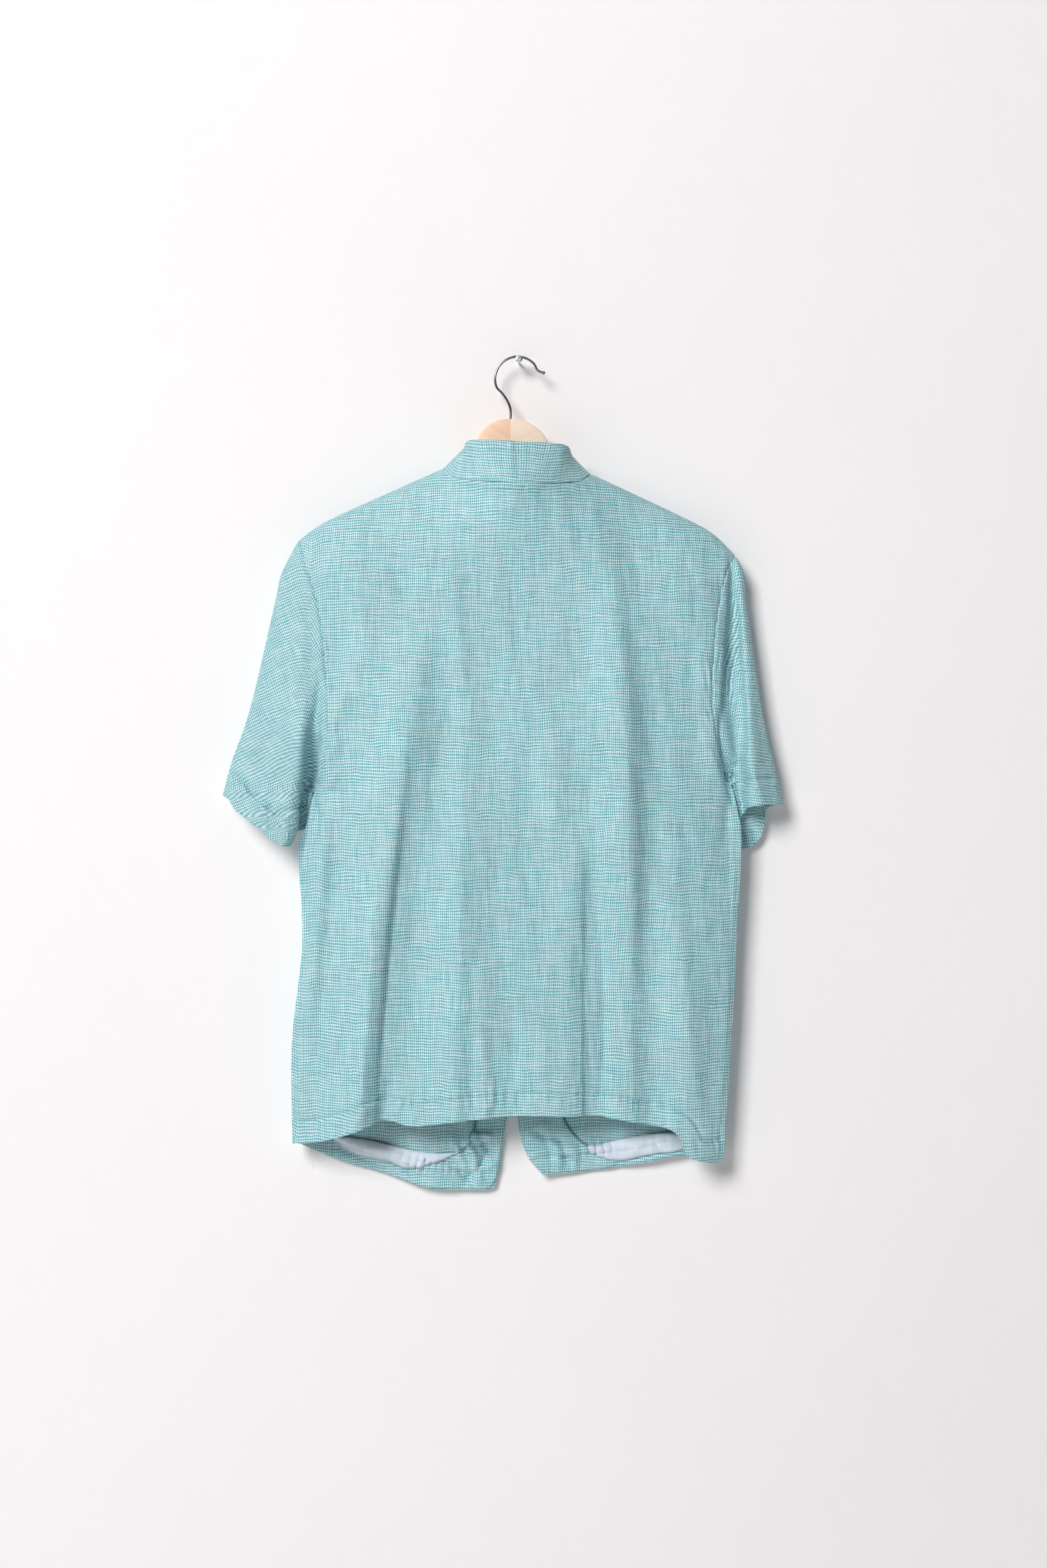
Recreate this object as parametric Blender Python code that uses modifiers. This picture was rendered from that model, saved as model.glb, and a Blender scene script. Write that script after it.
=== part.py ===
"""Short-sleeved mandarin collar shirt on a wooden hanger, hung by its hook from a nail.

Metres, +Z up. The shirt's back faces -Y and its fronts face the wall, at +Y. The origin is where
the hook rests on the nail. Tables and sizes are in millimetres and become metres in the meshes.

The cloth is worked out as two height fields over the shirt's outline: how far the back stands out
towards -Y, and how far the fronts stand out towards +Y. Each cut piece is a grid of points on one
of these fields, thickened inwards, so that neighbours meet along one line with a small gap.
"""

import math

import bmesh
import bpy
import numpy as np

MM = 0.001
COLLECTION = "mandarin_collar_shirt"

# Cloth
WALL = 1.4  # thickness of a cloth piece
STAND_WALL = 2.0  # thickness of the collar stand, which is two layers and a stiffener
FACING_WALL = 1.0
GAP = 0.3  # between pieces at a seam
MERGE = 0.01  # points of one piece that are as near as this are one point
LIP = 2.0  # straight margin beside a seam on a folded edge, so that both sides meet squarely
EASE = 45.0  # how quickly the cloth comes forward from a folded edge
EDGE_STAND_OUT = 9.0  # how far it stands out where it has not come forward yet
EDGE_LEAST = 1.0  # and at least this much past the folded edge
FOLD_MARGIN = 12.0  # folds fade out over this distance from a folded edge
FOLD_END, FOLD_END_FADE = 12.0, 25.0  # above a fold's last point it fades out over this length

# Folded edges. Columns: x, z, y, radius towards the back, radius towards the fronts.
SHOULDER_LEFT = (
    (-83.0, -121.0, -1.0, 9.0, 9.0),
    (-144.0, -148.0, 0.0, 9.0, 9.0),
    (-207.0, -177.0, 0.0, 9.0, 9.0),
    (-238.5, -198.7, -1.0, 9.0, 9.0),
)
SHOULDER_RIGHT = (
    (78.0, -126.5, -1.0, 9.0, 9.0),
    (125.0, -148.0, 0.0, 9.0, 9.0),
    (186.0, -177.0, 0.0, 9.0, 9.0),
    (211.0, -191.5, 0.0, 9.0, 9.0),
    (235.0, -215.5, -1.0, 9.0, 9.0),
)
SLEEVE_OUTER_LEFT = (
    (-238.5, -198.7, -1.0, 9.0, 9.0),
    (-257.5, -235.0, -2.0, 9.0, 9.0),
    (-264.0, -264.0, -2.0, 9.0, 9.0),
    (-291.0, -380.0, -4.0, 10.0, 8.0),
    (-311.0, -438.0, -4.0, 10.0, 8.0),
    (-321.0, -475.0, -4.0, 10.0, 8.0),
)
SLEEVE_OUTER_RIGHT = (
    (235.0, -215.5, -1.0, 9.0, 9.0),
    (244.0, -235.0, -2.0, 9.0, 9.0),
    (246.5, -264.0, -2.0, 9.0, 9.0),
    (263.0, -380.0, -4.0, 10.0, 8.0),
    (276.0, -438.0, -4.0, 10.0, 8.0),
    (286.5, -484.0, -4.0, 10.0, 8.0),
)
SLEEVE_INNER_LEFT = (
    (-223.0, -472.0, 0.0, 5.0, 5.0),
    (-224.2, -480.0, 3.5, 8.0, 4.0),
    (-225.2, -492.0, 6.5, 12.0, 4.0),
    (-228.0, -511.0, 8.5, 17.0, 4.0),
)
SLEEVE_INNER_RIGHT = (
    (232.0, -465.0, 0.0, 5.0, 5.0),
    (233.6, -475.0, 3.5, 9.0, 4.0),
    (235.4, -490.0, 6.0, 13.0, 4.0),
    (237.0, -510.0, 6.5, 14.0, 4.0),
    (239.0, -534.0, 7.0, 14.0, 4.0),
)
SIDE_LEFT = (
    (-223.0, -472.0, 0.0, 5.0, 5.0),
    (-226.5, -490.0, -7.0, 8.0, 18.0),
    (-229.5, -508.0, -11.0, 10.0, 24.0),
    (-238.0, -535.0, -11.0, 12.0, 20.0),
    (-234.0, -633.0, -10.0, 14.0, 14.0),
    (-245.0, -741.0, -10.0, 14.0, 14.0),
    (-245.0, -851.0, -10.0, 14.0, 14.0),
)
SIDE_RIGHT = (
    (232.0, -465.0, 0.0, 5.0, 5.0),
    (236.0, -490.0, -8.0, 8.0, 14.0),
    (240.5, -525.0, -12.0, 10.0, 18.0),
    (235.0, -633.0, -10.0, 14.0, 14.0),
    (231.0, -720.0, -10.0, 14.0, 14.0),
    (221.0, -869.0, -10.0, 14.0, 14.0),
)

# Seams and hems that lie on the open cloth. Columns: x, z.
ARMHOLE_BACK_LEFT = (
    (-238.5, -198.7), (-231.0, -222.0), (-213.0, -290.0), (-206.0, -390.0), (-210.0, -442.0),
    (-223.0, -472.0),
)
ARMHOLE_FRONT_LEFT = (
    (-238.5, -198.7), (-222.0, -235.0), (-204.0, -310.0), (-200.0, -400.0), (-208.0, -450.0),
    (-223.0, -472.0),
)
ARMHOLE_BACK_RIGHT = (
    (235.0, -215.5), (221.0, -245.0), (211.0, -310.0), (208.5, -375.0), (216.0, -422.0),
    (232.0, -465.0),
)
ARMHOLE_FRONT_RIGHT = (
    (235.0, -215.5), (214.0, -255.0), (198.0, -320.0), (196.0, -400.0), (210.0, -445.0),
    (232.0, -465.0),
)
NECK_BACK = (
    (-83.0, -121.0), (-76.0, -130.0), (-63.0, -135.5), (-24.0, -141.0), (20.0, -143.0),
    (58.0, -139.0), (71.0, -134.0), (78.0, -126.5),
)
NECK_FRONT_LEFT = (
    (-83.0, -121.0), (-76.0, -150.0), (-55.0, -178.0), (-28.0, -193.0), (-3.0, -197.0),
    (9.5, -197.5),
)
NECK_FRONT_RIGHT = (
    (78.0, -126.5), (70.0, -154.0), (48.0, -181.0), (22.0, -194.5), (-3.0, -198.0),
    (-15.5, -198.5),
)
FRONT_EDGE_LEFT = (
    (9.5, -197.5), (9.5, -450.0), (9.0, -650.0), (0.0, -750.0), (-13.0, -825.0), (-20.0, -865.0),
    (-26.0, -902.0),
)
FRONT_EDGE_RIGHT = (
    (-15.5, -198.5), (-15.5, -450.0), (-14.5, -650.0), (-9.0, -750.0), (-2.0, -825.0),
    (8.0, -865.0), (26.0, -889.0),
)
HEM_BACK = (
    (-245.0, -851.0), (-215.0, -847.5), (-177.0, -836.0), (-145.0, -823.0), (-113.0, -829.5),
    (-64.0, -823.0), (0.0, -818.0), (77.0, -819.5), (121.0, -825.0), (160.0, -833.0),
    (173.0, -843.0), (181.0, -862.0), (205.0, -870.5), (221.0, -869.0),
)
HEM_FRONT_LEFT = (
    (-245.0, -851.0), (-225.0, -861.0), (-189.0, -875.0), (-145.0, -888.0), (-101.0, -903.0),
    (-66.0, -905.0), (-36.0, -906.0), (-26.0, -902.0),
)
HEM_FRONT_RIGHT = (
    (221.0, -869.0), (173.0, -868.0), (132.0, -877.0), (79.0, -885.0), (44.0, -888.5),
    (26.0, -889.0),
)
SLEEVE_HEM_BACK_LEFT = (
    (-321.0, -475.0), (-312.0, -480.0), (-307.0, -489.0), (-280.0, -510.0), (-258.0, -528.0),
    (-249.0, -528.0), (-243.0, -516.0), (-228.0, -511.0),
)
SLEEVE_HEM_FRONT_LEFT = (
    (-321.0, -475.0), (-300.0, -487.0), (-268.0, -504.0), (-244.0, -511.0), (-228.0, -511.0),
)
SLEEVE_HEM_BACK_RIGHT = (
    (286.5, -484.0), (262.0, -485.5), (246.0, -489.0), (240.5, -500.0), (239.5, -518.0),
    (239.0, -534.0),
)
SLEEVE_HEM_FRONT_RIGHT = (
    (286.5, -484.0), (270.0, -490.0), (267.5, -510.0), (261.0, -525.0), (250.0, -532.0),
    (239.0, -534.0),
)

# How far the cloth stands out. Columns: z, back, fronts.
STAND_OUT = (
    (-120.0, 30.0, 12.0),
    (-300.0, 29.0, 13.0),
    (-450.0, 32.0, 13.0),
    (-650.0, 34.0, 13.0),
    (-906.0, 38.0, 13.0),
)
NECK_BULGE = 26.0  # further out at the middle of the back neck
NECK_BULGE_X, NECK_BULGE_Z = 75.0, 110.0  # how far it spreads across and down
NECK_BULGE_TOP = -135.0

# Folds: soft ridges (+) and troughs (-) along a line through three points. Columns: top x, top z,
# middle x, middle z, bottom x, bottom z, height, width to the left, width to the right, length
# over which the fold rises from nothing at its top.
BACK_FOLDS = (
    (-92.0, -230.0, -130.0, -480.0, -158.0, -850.0, 9.0, 42.0, 20.0, 200.0),  # long left ridge
    (-66.0, -330.0, -100.0, -520.0, -138.0, -850.0, -5.0, 14.0, 30.0, 150.0),  # trough beside it
    (-62.0, -260.0, -52.0, -480.0, -42.0, -850.0, 3.0, 30.0, 18.0, 150.0),
    (106.0, -210.0, 118.0, -480.0, 122.0, -850.0, 8.0, 44.0, 20.0, 200.0),  # wide right ridge
    (74.0, -500.0, 69.0, -680.0, 70.0, -850.0, -11.0, 15.0, 11.0, 170.0),  # sharp right crease
    (-200.0, -440.0, -216.0, -600.0, -232.0, -800.0, 4.0, 16.0, 12.0, 120.0),
    (166.0, -480.0, 172.0, -640.0, 196.0, -860.0, 5.0, 20.0, 12.0, 150.0),
    (-212.0, -370.0, -222.0, -430.0, -227.0, -500.0, -15.0, 6.0, 12.0, 90.0),  # left armpit
    (-238.0, -430.0, -246.0, -500.0, -254.0, -530.0, 9.0, 26.0, 5.0, 60.0),  # its sleeve corner
    (232.0, -235.0, 237.0, -380.0, 240.0, -500.0, -16.0, 12.0, 6.0, 150.0),  # right sleeve trough
    (246.0, -330.0, 248.0, -430.0, 250.0, -490.0, 8.0, 5.0, 20.0, 100.0),  # its sleeve ridge
)
FRONT_FOLDS = (
    (-150.0, -250.0, -162.0, -520.0, -150.0, -880.0, 3.0, 32.0, 22.0, 180.0),
    (-70.0, -380.0, -84.0, -640.0, -92.0, -900.0, -3.5, 24.0, 30.0, 200.0),
    (84.0, -280.0, 96.0, -580.0, 86.0, -890.0, 3.0, 22.0, 34.0, 180.0),
    (150.0, -430.0, 158.0, -640.0, 160.0, -880.0, -3.5, 26.0, 18.0, 160.0),
)

# Grid lines. Widths are taken at the shoulders, in mm from a piece's edge.
EDGE_COLUMNS = (0.0, 2.0, 7.0, 14.0)  # beside a folded side
SHOULDER_SPANS = 7  # from there to the neck
NECK_SPANS = 9  # across the back neck
NECK_FRONT_COLUMNS = (  # shares of the front neck's width
    0.0, 0.015, 0.04, 0.12, 0.28, 0.44, 0.6, 0.72, 0.84, 0.93, 1.0,
)
FACING_COLUMN = 6  # the facing starts here, counted along NECK_FRONT_COLUMNS
CENTRE_COLUMN = 8  # and the collar stand ends here
ARMHOLE_TOP_ROWS = (0.0, 1.5, 5.0, 10.0, 24.0)  # beside the shoulder seam
ARMHOLE_END_ROWS = (20.0, 9.0, 3.0, 0.0)  # above the underarm
ARMHOLE_SPANS = 7
SIDE_TOP_ROWS = (4.0, 12.0, 26.0)  # below the underarm
SIDE_SPANS = 10
FACING_ROWS = (0.945, 0.961, 0.977, 1.0)  # facing top, turned-down strip, strip's edge, hem
UNDERARM_SHARE = 0.42  # of the length from the shoulder to the hem
SLEEVE_ARMHOLE_SHARE = 0.86  # of a sleeve's inner side that is armhole seam
SLEEVE_INNER_ROWS = (0.12, 0.3, 0.55, 0.8, 1.0)  # below the underarm
SLEEVE_COLUMNS = (0.0, 0.03, 0.08, 0.2, 0.36, 0.52, 0.68, 0.82, 0.92, 0.975, 1.0)

# The right front lies under the left one at the middle.
UNDERLAP_DEPTH = 3.6
UNDERLAP_END, UNDERLAP_FADE = 14.0, 36.0

# Strips that the facings turn down: the front's first and last grid column that they cover.
STRIP_COLUMNS_LEFT = (6, 15)
STRIP_COLUMNS_RIGHT = (6, 14)
STRIP_PUFF = 1.5  # how far the strip's free edge stands off

# Collar stand, top edge. Columns: angle round from the left side, x, y, z.
STAND_TOP = (
    (-90.0, -5.0, 12.5, -158.0),
    (-60.0, -33.0, 12.0, -147.0),
    (-35.0, -52.0, 11.0, -124.0),
    (-20.0, -57.0, 9.0, -111.0),
    (-10.0, -59.0, 2.0, -104.0),
    (0.0, -59.0, -8.0, -99.0),
    (45.0, -50.0, -40.0, -95.0),
    (90.0, -2.0, -47.0, -98.0),
    (135.0, 47.0, -40.0, -100.0),
    (180.0, 56.0, -8.0, -105.0),
    (190.0, 56.0, 2.0, -110.0),
    (200.0, 54.5, 9.0, -117.0),
    (215.0, 49.0, 10.5, -130.0),
    (240.0, 30.0, 10.5, -150.0),
    (270.0, 0.0, 9.4, -160.0),
)
STAND_ROWS = (0.0, 0.3, 0.65, 1.0)
STAND_END_ROUND = 14.0  # radius of the stand's front corners

# Hanger, hook and nail
HANGER_THICKNESS = 11.0
HANGER_ROUND = 3.0
HANGER_CLEAR = 2.1  # below the outside of the shoulder, so 0.7 below the cloth
HANGER_NECK_DIP = 3.0  # further down beside the crown
HANGER_DIP_X, HANGER_DIP_FADE = 110.0, 25.0  # up to this far from the middle
HANGER_CORNER = 0.3  # of the rounding, where the upper corners' middle points are
# Columns: x, top z, bottom z of the crown, on both sides of the middle.
CROWN_LEFT = (
    (-9.0, -66.5, -152.0), (-22.0, -68.0, -153.0), (-34.0, -74.0, -154.0), (-42.0, -83.0, -155.0),
    (-47.0, -95.0, -156.0), (-53.0, -112.0, -157.0), (-62.0, -122.5, -158.0),
)
CROWN_RIGHT = (
    (-9.0, -66.5, -152.0), (5.0, -68.5, -153.0), (18.0, -75.0, -154.0), (27.0, -84.0, -155.0),
    (33.0, -98.0, -156.0), (42.0, -117.0, -158.0), (56.0, -127.5, -160.0),
)
ARM_END_LEFT, ARM_END_RIGHT = -221.0, 199.0
ARM_END_HEIGHT = 16.0
ARM_SPANS = 6
WIRE_RADIUS = 1.3
BALL_RADIUS = 1.95
BALL_TURNS = (40, 70, 100, 130, 160)  # degrees from the ball's near pole to its far one
BALL_START = 0.3  # past the end of the wire
HOOK_ARC_RADIUS = 24.4
HOOK_ARC_X = -1.5
HOOK_ARC_START, HOOK_ARC_END, HOOK_ARC_POINTS = 206.0, 35.0, 22
# Columns: x, z.
HOOK_STEM = ((-9.0, -66.2), (-9.0, -56.0), (-12.0, -47.5), (-18.0, -38.5), (-23.4, -33.5))
HOOK_TAIL = ((19.2, -12.2), (21.8, -14.6), (25.0, -15.6))
STEM_STEP, TAIL_STEP = 3.0, 2.0
NAIL_RADIUS = 1.4
NAIL_HEAD_RADIUS = 4.2
NAIL_HEAD_FRONT, NAIL_HEAD_BACK = -3.9, -2.1
NAIL_FACE_SHARE = 0.7  # of the head's radius that is flat in front
NAIL_BEVEL = 0.5
NAIL_STEPS = 10
WALL_FACE_Y = 22.0  # the wall that the nail is in

# Buttons
BUTTON_X = -3.0
BUTTON_TOP_Z = -222.0
BUTTON_STEP = 94.0
BUTTON_COUNT = 6
BUTTON_RADIUS = 5.6
BUTTON_THICKNESS = 2.4
BUTTON_STAND_OFF = 0.6
BUTTON_EDGE = 0.8  # cut off its edges
BUTTON_RIM = 1.4  # width of the raised rim on its outer side
BUTTON_DISH = 0.6  # how deep the face lies in the rim
BUTTON_STEPS = 14

# Colours
TEAL = (0.26, 0.50, 0.53)
PALE_BLUE = (0.62, 0.72, 0.82)
WOOD_LEFT = (0.80, 0.52, 0.34)
WOOD_RIGHT = (0.87, 0.64, 0.45)
CHROME = (0.62, 0.62, 0.62)
STEEL = (0.72, 0.74, 0.77)
BUTTON_COLOUR = (0.22, 0.42, 0.44)


def clear_scene():
    for old in list(bpy.data.objects):
        bpy.data.objects.remove(old, do_unlink=True)


def smooth_line(points, step=4.0):
    """Closely spaced points on a smooth line through the given ones."""
    p = np.array(points, float)
    p = np.vstack([2 * p[0] - p[1], p, 2 * p[-1] - p[-2]])
    line = []
    for a, b, c, d in zip(p, p[1:], p[2:], p[3:]):
        count = max(2, int(np.linalg.norm(c - b) / step))
        t = np.linspace(0, 1, count, endpoint=False)[:, None]
        line.append(
            b + (c - a) * t / 2 + (2 * a - 5 * b + 4 * c - d) * t**2 / 2
            + (3 * b - a - 3 * c + d) * t**3 / 2
        )
    return np.vstack(line + [p[-2][None]])


def along(line, shares):
    """The points at these shares of a line's length in x and z."""
    steps = np.linalg.norm(np.diff(line[:, :2], axis=0), axis=1)
    reach = np.concatenate([[0], np.cumsum(steps)])
    return np.column_stack([np.interp(np.asarray(shares) * reach[-1], reach, c) for c in line.T])


def length_of(line):
    return np.linalg.norm(np.diff(line[:, :2], axis=0), axis=1).sum()


def at_x(line, xs):
    """The points at these x on a line that runs one way in x."""
    order = np.argsort(line[:, 0])
    return np.column_stack([xs] + [np.interp(xs, line[order, 0], c[order]) for c in line.T[1:]])


def moved_aside(line, distance):
    """A line of x, z points moved to its left by a distance."""
    run = np.gradient(line, axis=0)
    side = np.column_stack([-run[:, 1], run[:, 0]])
    return line + distance * side / np.linalg.norm(side, axis=1)[:, None]


TOP_EDGES = [
    smooth_line(SHOULDER_LEFT + SLEEVE_OUTER_LEFT[1:]),
    smooth_line(SHOULDER_RIGHT + SLEEVE_OUTER_RIGHT[1:]),
]
BODY_EDGES = TOP_EDGES + [smooth_line(SIDE_LEFT), smooth_line(SIDE_RIGHT)]
SLEEVE_EDGES = TOP_EDGES + [smooth_line(SLEEVE_INNER_LEFT), smooth_line(SLEEVE_INNER_RIGHT)]


def nearest_edge(x, z, edges):
    """Distance to the nearest of these folded edges, and that edge's y and radii there."""
    best = np.full(x.shape, 1e9)
    found = np.zeros(x.shape + (3,))
    for line in edges:
        for a, b in zip(line, line[1:]):
            run = b[:2] - a[:2]
            t = ((x - a[0]) * run[0] + (z - a[1]) * run[1]) / (run @ run)
            t = np.clip(t, 0, 1)
            far = np.hypot(x - a[0] - t * run[0], z - a[1] - t * run[1])
            nearer = far < best
            best = np.where(nearer, far, best)
            here = a[2:] + t[..., None] * (b[2:] - a[2:])
            found = np.where(nearer[..., None], here, found)
    return best, found[..., 0], found[..., 1], found[..., 2]


def rounded(share):
    """0 to 1 round a quarter circle."""
    return np.sqrt(np.clip(1 - (1 - np.clip(share, 0, 1)) ** 2, 0, 1))


def eased(share):
    share = np.clip(share, 0, 1)
    return share * share * (3 - 2 * share)


def fold_height(folds, x, z):
    """What the folds add to how far the cloth stands out."""
    total = np.zeros(x.shape)
    for x1, z1, x2, z2, x3, z3, height, left, right, rise in folds:
        line = smooth_line(((z1, x1), (z2, x2), (z3, x3)))
        middle = np.interp(-z, -line[:, 0], line[:, 1])
        off = x - middle
        width = np.where(off < 0, left, right)
        below = eased((z1 - z) / rise) * (1 - eased((z3 - FOLD_END - z) / FOLD_END_FADE))
        total += height * below * np.exp(-((off / width) ** 2))
    return total


def stands_out(x, z, side, edges=BODY_EDGES):
    """How far the cloth's outside is from y = 0: back where side is 1, fronts where it is 2."""
    far, edge_y, back_radius, front_radius = nearest_edge(x, z, edges)
    table = np.array(STAND_OUT)
    full = np.interp(-z, -table[:, 0], table[:, side])
    out = EDGE_STAND_OUT + (full - EDGE_STAND_OUT) * (1 - np.exp(-far / EASE))
    if side == 1:
        drop = (NECK_BULGE_TOP - z) / NECK_BULGE_Z
        out += NECK_BULGE * np.exp(-((x / NECK_BULGE_X) ** 2) - drop**2)
    fade = np.clip(far / FOLD_MARGIN, 0, 1)
    out += fade * fold_height(BACK_FOLDS if side == 1 else FRONT_FOLDS, x, z)
    edge = (-edge_y if side == 1 else edge_y) + GAP / 2 + LIP
    radius = back_radius if side == 1 else front_radius
    return edge + (np.maximum(out, edge + EDGE_LEAST) - edge) * rounded(far / radius)


def edge_depth(x, z, edges=BODY_EDGES):
    return nearest_edge(x, z, edges)[1]


def on_cloth(xz, side, edges=BODY_EDGES):
    """Grid of x, z to grid of x, y, z on the back or the fronts."""
    x, z = xz[..., 0], xz[..., 1]
    y = stands_out(x, z, side, edges)
    return np.stack([x, -y if side == 1 else y, z], axis=-1)


def patch(top, bottom, left, right, us, vs):
    """Grid of points between four sides, given at the same shares us and vs."""
    u, v = us[None, :, None], vs[:, None, None]
    sides = (1 - v) * top[None] + v * bottom[None] + (1 - u) * left[:, None] + u * right[:, None]
    ends = (1 - u) * ((1 - v) * top[0] + v * bottom[0]) + u * ((1 - v) * top[-1] + v * bottom[-1])
    return sides - ends


# ---- Grid lines that neighbours share

def armhole_shares(line):
    long = length_of(line)
    top = np.array(ARMHOLE_TOP_ROWS) / long
    end = 1 - np.array(ARMHOLE_END_ROWS) / long
    return np.concatenate([top, np.linspace(top[-1], end[0], ARMHOLE_SPANS + 1)[1:-1], end])


def side_shares(line):
    top = np.array(SIDE_TOP_ROWS) / length_of(line)
    facing = (np.array(FACING_ROWS) - UNDERARM_SHARE) / (1 - UNDERARM_SHARE)
    middle = np.linspace(top[-1], facing[0], SIDE_SPANS + 1)[1:-1]
    return np.concatenate([top, middle, facing])


def row_shares():
    """Blend shares of a body piece's rows, from the shoulder to the hem."""
    armhole = armhole_shares(smooth_line(ARMHOLE_BACK_LEFT))
    side = side_shares(smooth_line(SIDE_LEFT))
    return np.concatenate([armhole * UNDERARM_SHARE, UNDERARM_SHARE + side * (1 - UNDERARM_SHARE)])


def body_side(armhole, side, inward):
    """A body piece's edge down its armhole and its side, in x and z."""
    seam = smooth_line(armhole)
    upper = along(moved_aside(seam, inward * GAP / 2), armhole_shares(seam))
    fold = smooth_line(side)
    lower = along(fold, side_shares(fold))[:, :2]
    upper[-1] = fold[0, :2]
    upper[0] = seam[0] + (inward * GAP, 0)
    return np.vstack([upper, lower])


def shoulder_columns(tip, neck):
    step = math.copysign(1, neck - tip)
    near = tip + step * np.array(EDGE_COLUMNS)
    return np.concatenate([near, np.linspace(near[-1], neck, SHOULDER_SPANS + 1)[1:]])


def with_margin(points, folded, side):
    """Add a row beside the first one. Where that edge is folded it lies straight behind it, so
    the piece meets its neighbour squarely, and elsewhere it is a third of the way to the next."""
    sign = -1 if side == 1 else 1
    first, second = points[0].copy(), points[0].copy()
    second[~folded] = (2 * points[0] + points[1])[~folded] / 3
    first[folded, 1] = (edge_depth(first[:, 0], first[:, 2]) + sign * GAP / 2)[folded]
    return np.concatenate([first[None], second[None], points[1:]])


def with_margins(points, side, shoulder, side_seams):
    """Add the margins under the shoulder seams and beside the side seams. shoulder is a mask of
    the columns, and side_seams says whether the first and the last column have a side seam."""
    points = with_margin(points, shoulder, side)
    underarm = len(armhole_shares(smooth_line(ARMHOLE_BACK_LEFT)))
    below = np.arange(len(points)) >= underarm
    if side_seams[0]:
        points = with_margin(points.transpose(1, 0, 2), below, side).transpose(1, 0, 2)
    if side_seams[1]:
        mirrored = points[:, ::-1].transpose(1, 0, 2)
        points = with_margin(mirrored, below, side).transpose(1, 0, 2)[:, ::-1]
    return points


# ---- Meshes

def new_material(name, colour, roughness, metallic=0.0):
    material = bpy.data.materials.new(name)
    material.use_nodes = True
    shader = material.node_tree.nodes["Principled BSDF"]
    shader.inputs["Base Color"].default_value = (*colour, 1.0)
    shader.inputs["Roughness"].default_value = roughness
    shader.inputs["Metallic"].default_value = metallic
    return material


def add_object(name, data, material):
    made = bpy.data.objects.new(name, data)
    made.data.materials.append(material)
    bpy.data.collections[COLLECTION].objects.link(made)
    return made


def sheet_object(name, points, material, thickness, flip, kept=None):
    """A sheet through a grid of points, thickened to its inner side. Points that meet are joined,
    and kept tells which cells to make."""
    rows, columns = points.shape[:2]
    mesh = bmesh.new()
    verts = {}

    def vert(row, column):
        key = row, column
        if key not in verts:
            verts[key] = mesh.verts.new(points[key] * MM)
        return verts[key]

    for row in range(rows - 1):
        for column in range(columns - 1):
            if kept is not None and not kept(row, column):
                continue
            face = [
                vert(row, column), vert(row + 1, column),
                vert(row + 1, column + 1), vert(row, column + 1),
            ]
            mesh.faces.new(face[::-1] if flip else face)
    bmesh.ops.remove_doubles(mesh, verts=mesh.verts, dist=MERGE * MM)
    data = bpy.data.meshes.new(name)
    mesh.to_mesh(data)
    mesh.free()
    data.shade_smooth()
    made = add_object(name, data, material)
    wall = made.modifiers.new("wall", "SOLIDIFY")
    wall.thickness = thickness * MM
    wall.offset = -1.0
    return made


def inwards(points, distances):
    """A front's grid moved in from its outside, along its own normals."""
    normal = np.cross(np.gradient(points, axis=1), np.gradient(points, axis=0))
    normal /= np.linalg.norm(normal, axis=-1)[..., None]
    normal *= np.sign(normal[..., 1:2])
    return points - np.asarray(distances)[..., None] * normal


# ---- Body pieces

def back_grid():
    left = body_side(ARMHOLE_BACK_LEFT, SIDE_LEFT, 1)
    right = body_side(ARMHOLE_BACK_RIGHT, SIDE_RIGHT, -1)
    left_x = shoulder_columns(left[0, 0], SHOULDER_LEFT[0][0])
    right_x = shoulder_columns(right[0, 0], SHOULDER_RIGHT[0][0])[::-1]
    top = np.vstack([
        at_x(smooth_line(SHOULDER_LEFT), left_x)[:, :2],
        at_x(smooth_line(NECK_BACK), back_neck_columns()) - (0, GAP / 2),
        at_x(smooth_line(SHOULDER_RIGHT), right_x)[:, :2],
    ])
    left[0], right[0] = top[0], top[-1]
    us = (top[:, 0] - top[0, 0]) / (top[-1, 0] - top[0, 0])
    bottom = along(smooth_line(HEM_BACK), us)
    xz = patch(top, bottom, left, right, us, row_shares())
    on_shoulder = np.isin(top[:, 0], np.concatenate([left_x, right_x]))
    return with_margins(on_cloth(xz, 1), 1, on_shoulder, (True, True))


def front_grid(armhole, side, shoulder, neck, edge, hem, inward):
    """A front's grid, from its side to its front edge. The right front, whose armhole is moved
    the other way, goes under the left one at the middle."""
    outer = body_side(armhole, side, inward)
    seam, neck_line = smooth_line(shoulder), smooth_line(neck)
    shoulder_x = shoulder_columns(outer[0, 0], seam[0, 0])
    neck_top = at_x(neck_line, front_neck_columns(neck_line))
    top = np.vstack([at_x(seam, shoulder_x)[:, :2], neck_top[1:] - (0, GAP / 2)])
    outer[0] = top[0]
    us = (top[:, 0] - top[0, 0]) / (top[-1, 0] - top[0, 0])
    vs = row_shares()
    inner = along(smooth_line(edge), vs) - (0, GAP / 2)
    xz = patch(top, along(smooth_line(hem), us), outer, inner, us, vs)
    points = on_cloth(xz, 2)
    if inward < 0:
        points[..., 1] -= underlap(xz[..., 0])
    on_shoulder = np.arange(len(us)) < len(shoulder_x)
    return with_margins(points, 2, on_shoulder, (True, False))


def underlap(x):
    return UNDERLAP_DEPTH * eased(1 - (x - UNDERLAP_END) / UNDERLAP_FADE)


def back_neck_columns():
    return np.linspace(SHOULDER_LEFT[0][0], SHOULDER_RIGHT[0][0], NECK_SPANS + 1)[1:-1]


def front_neck_columns(neck_line):
    start, end = neck_line[0, 0], neck_line[-1, 0]
    return start + np.array(NECK_FRONT_COLUMNS) * (end - start)


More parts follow.
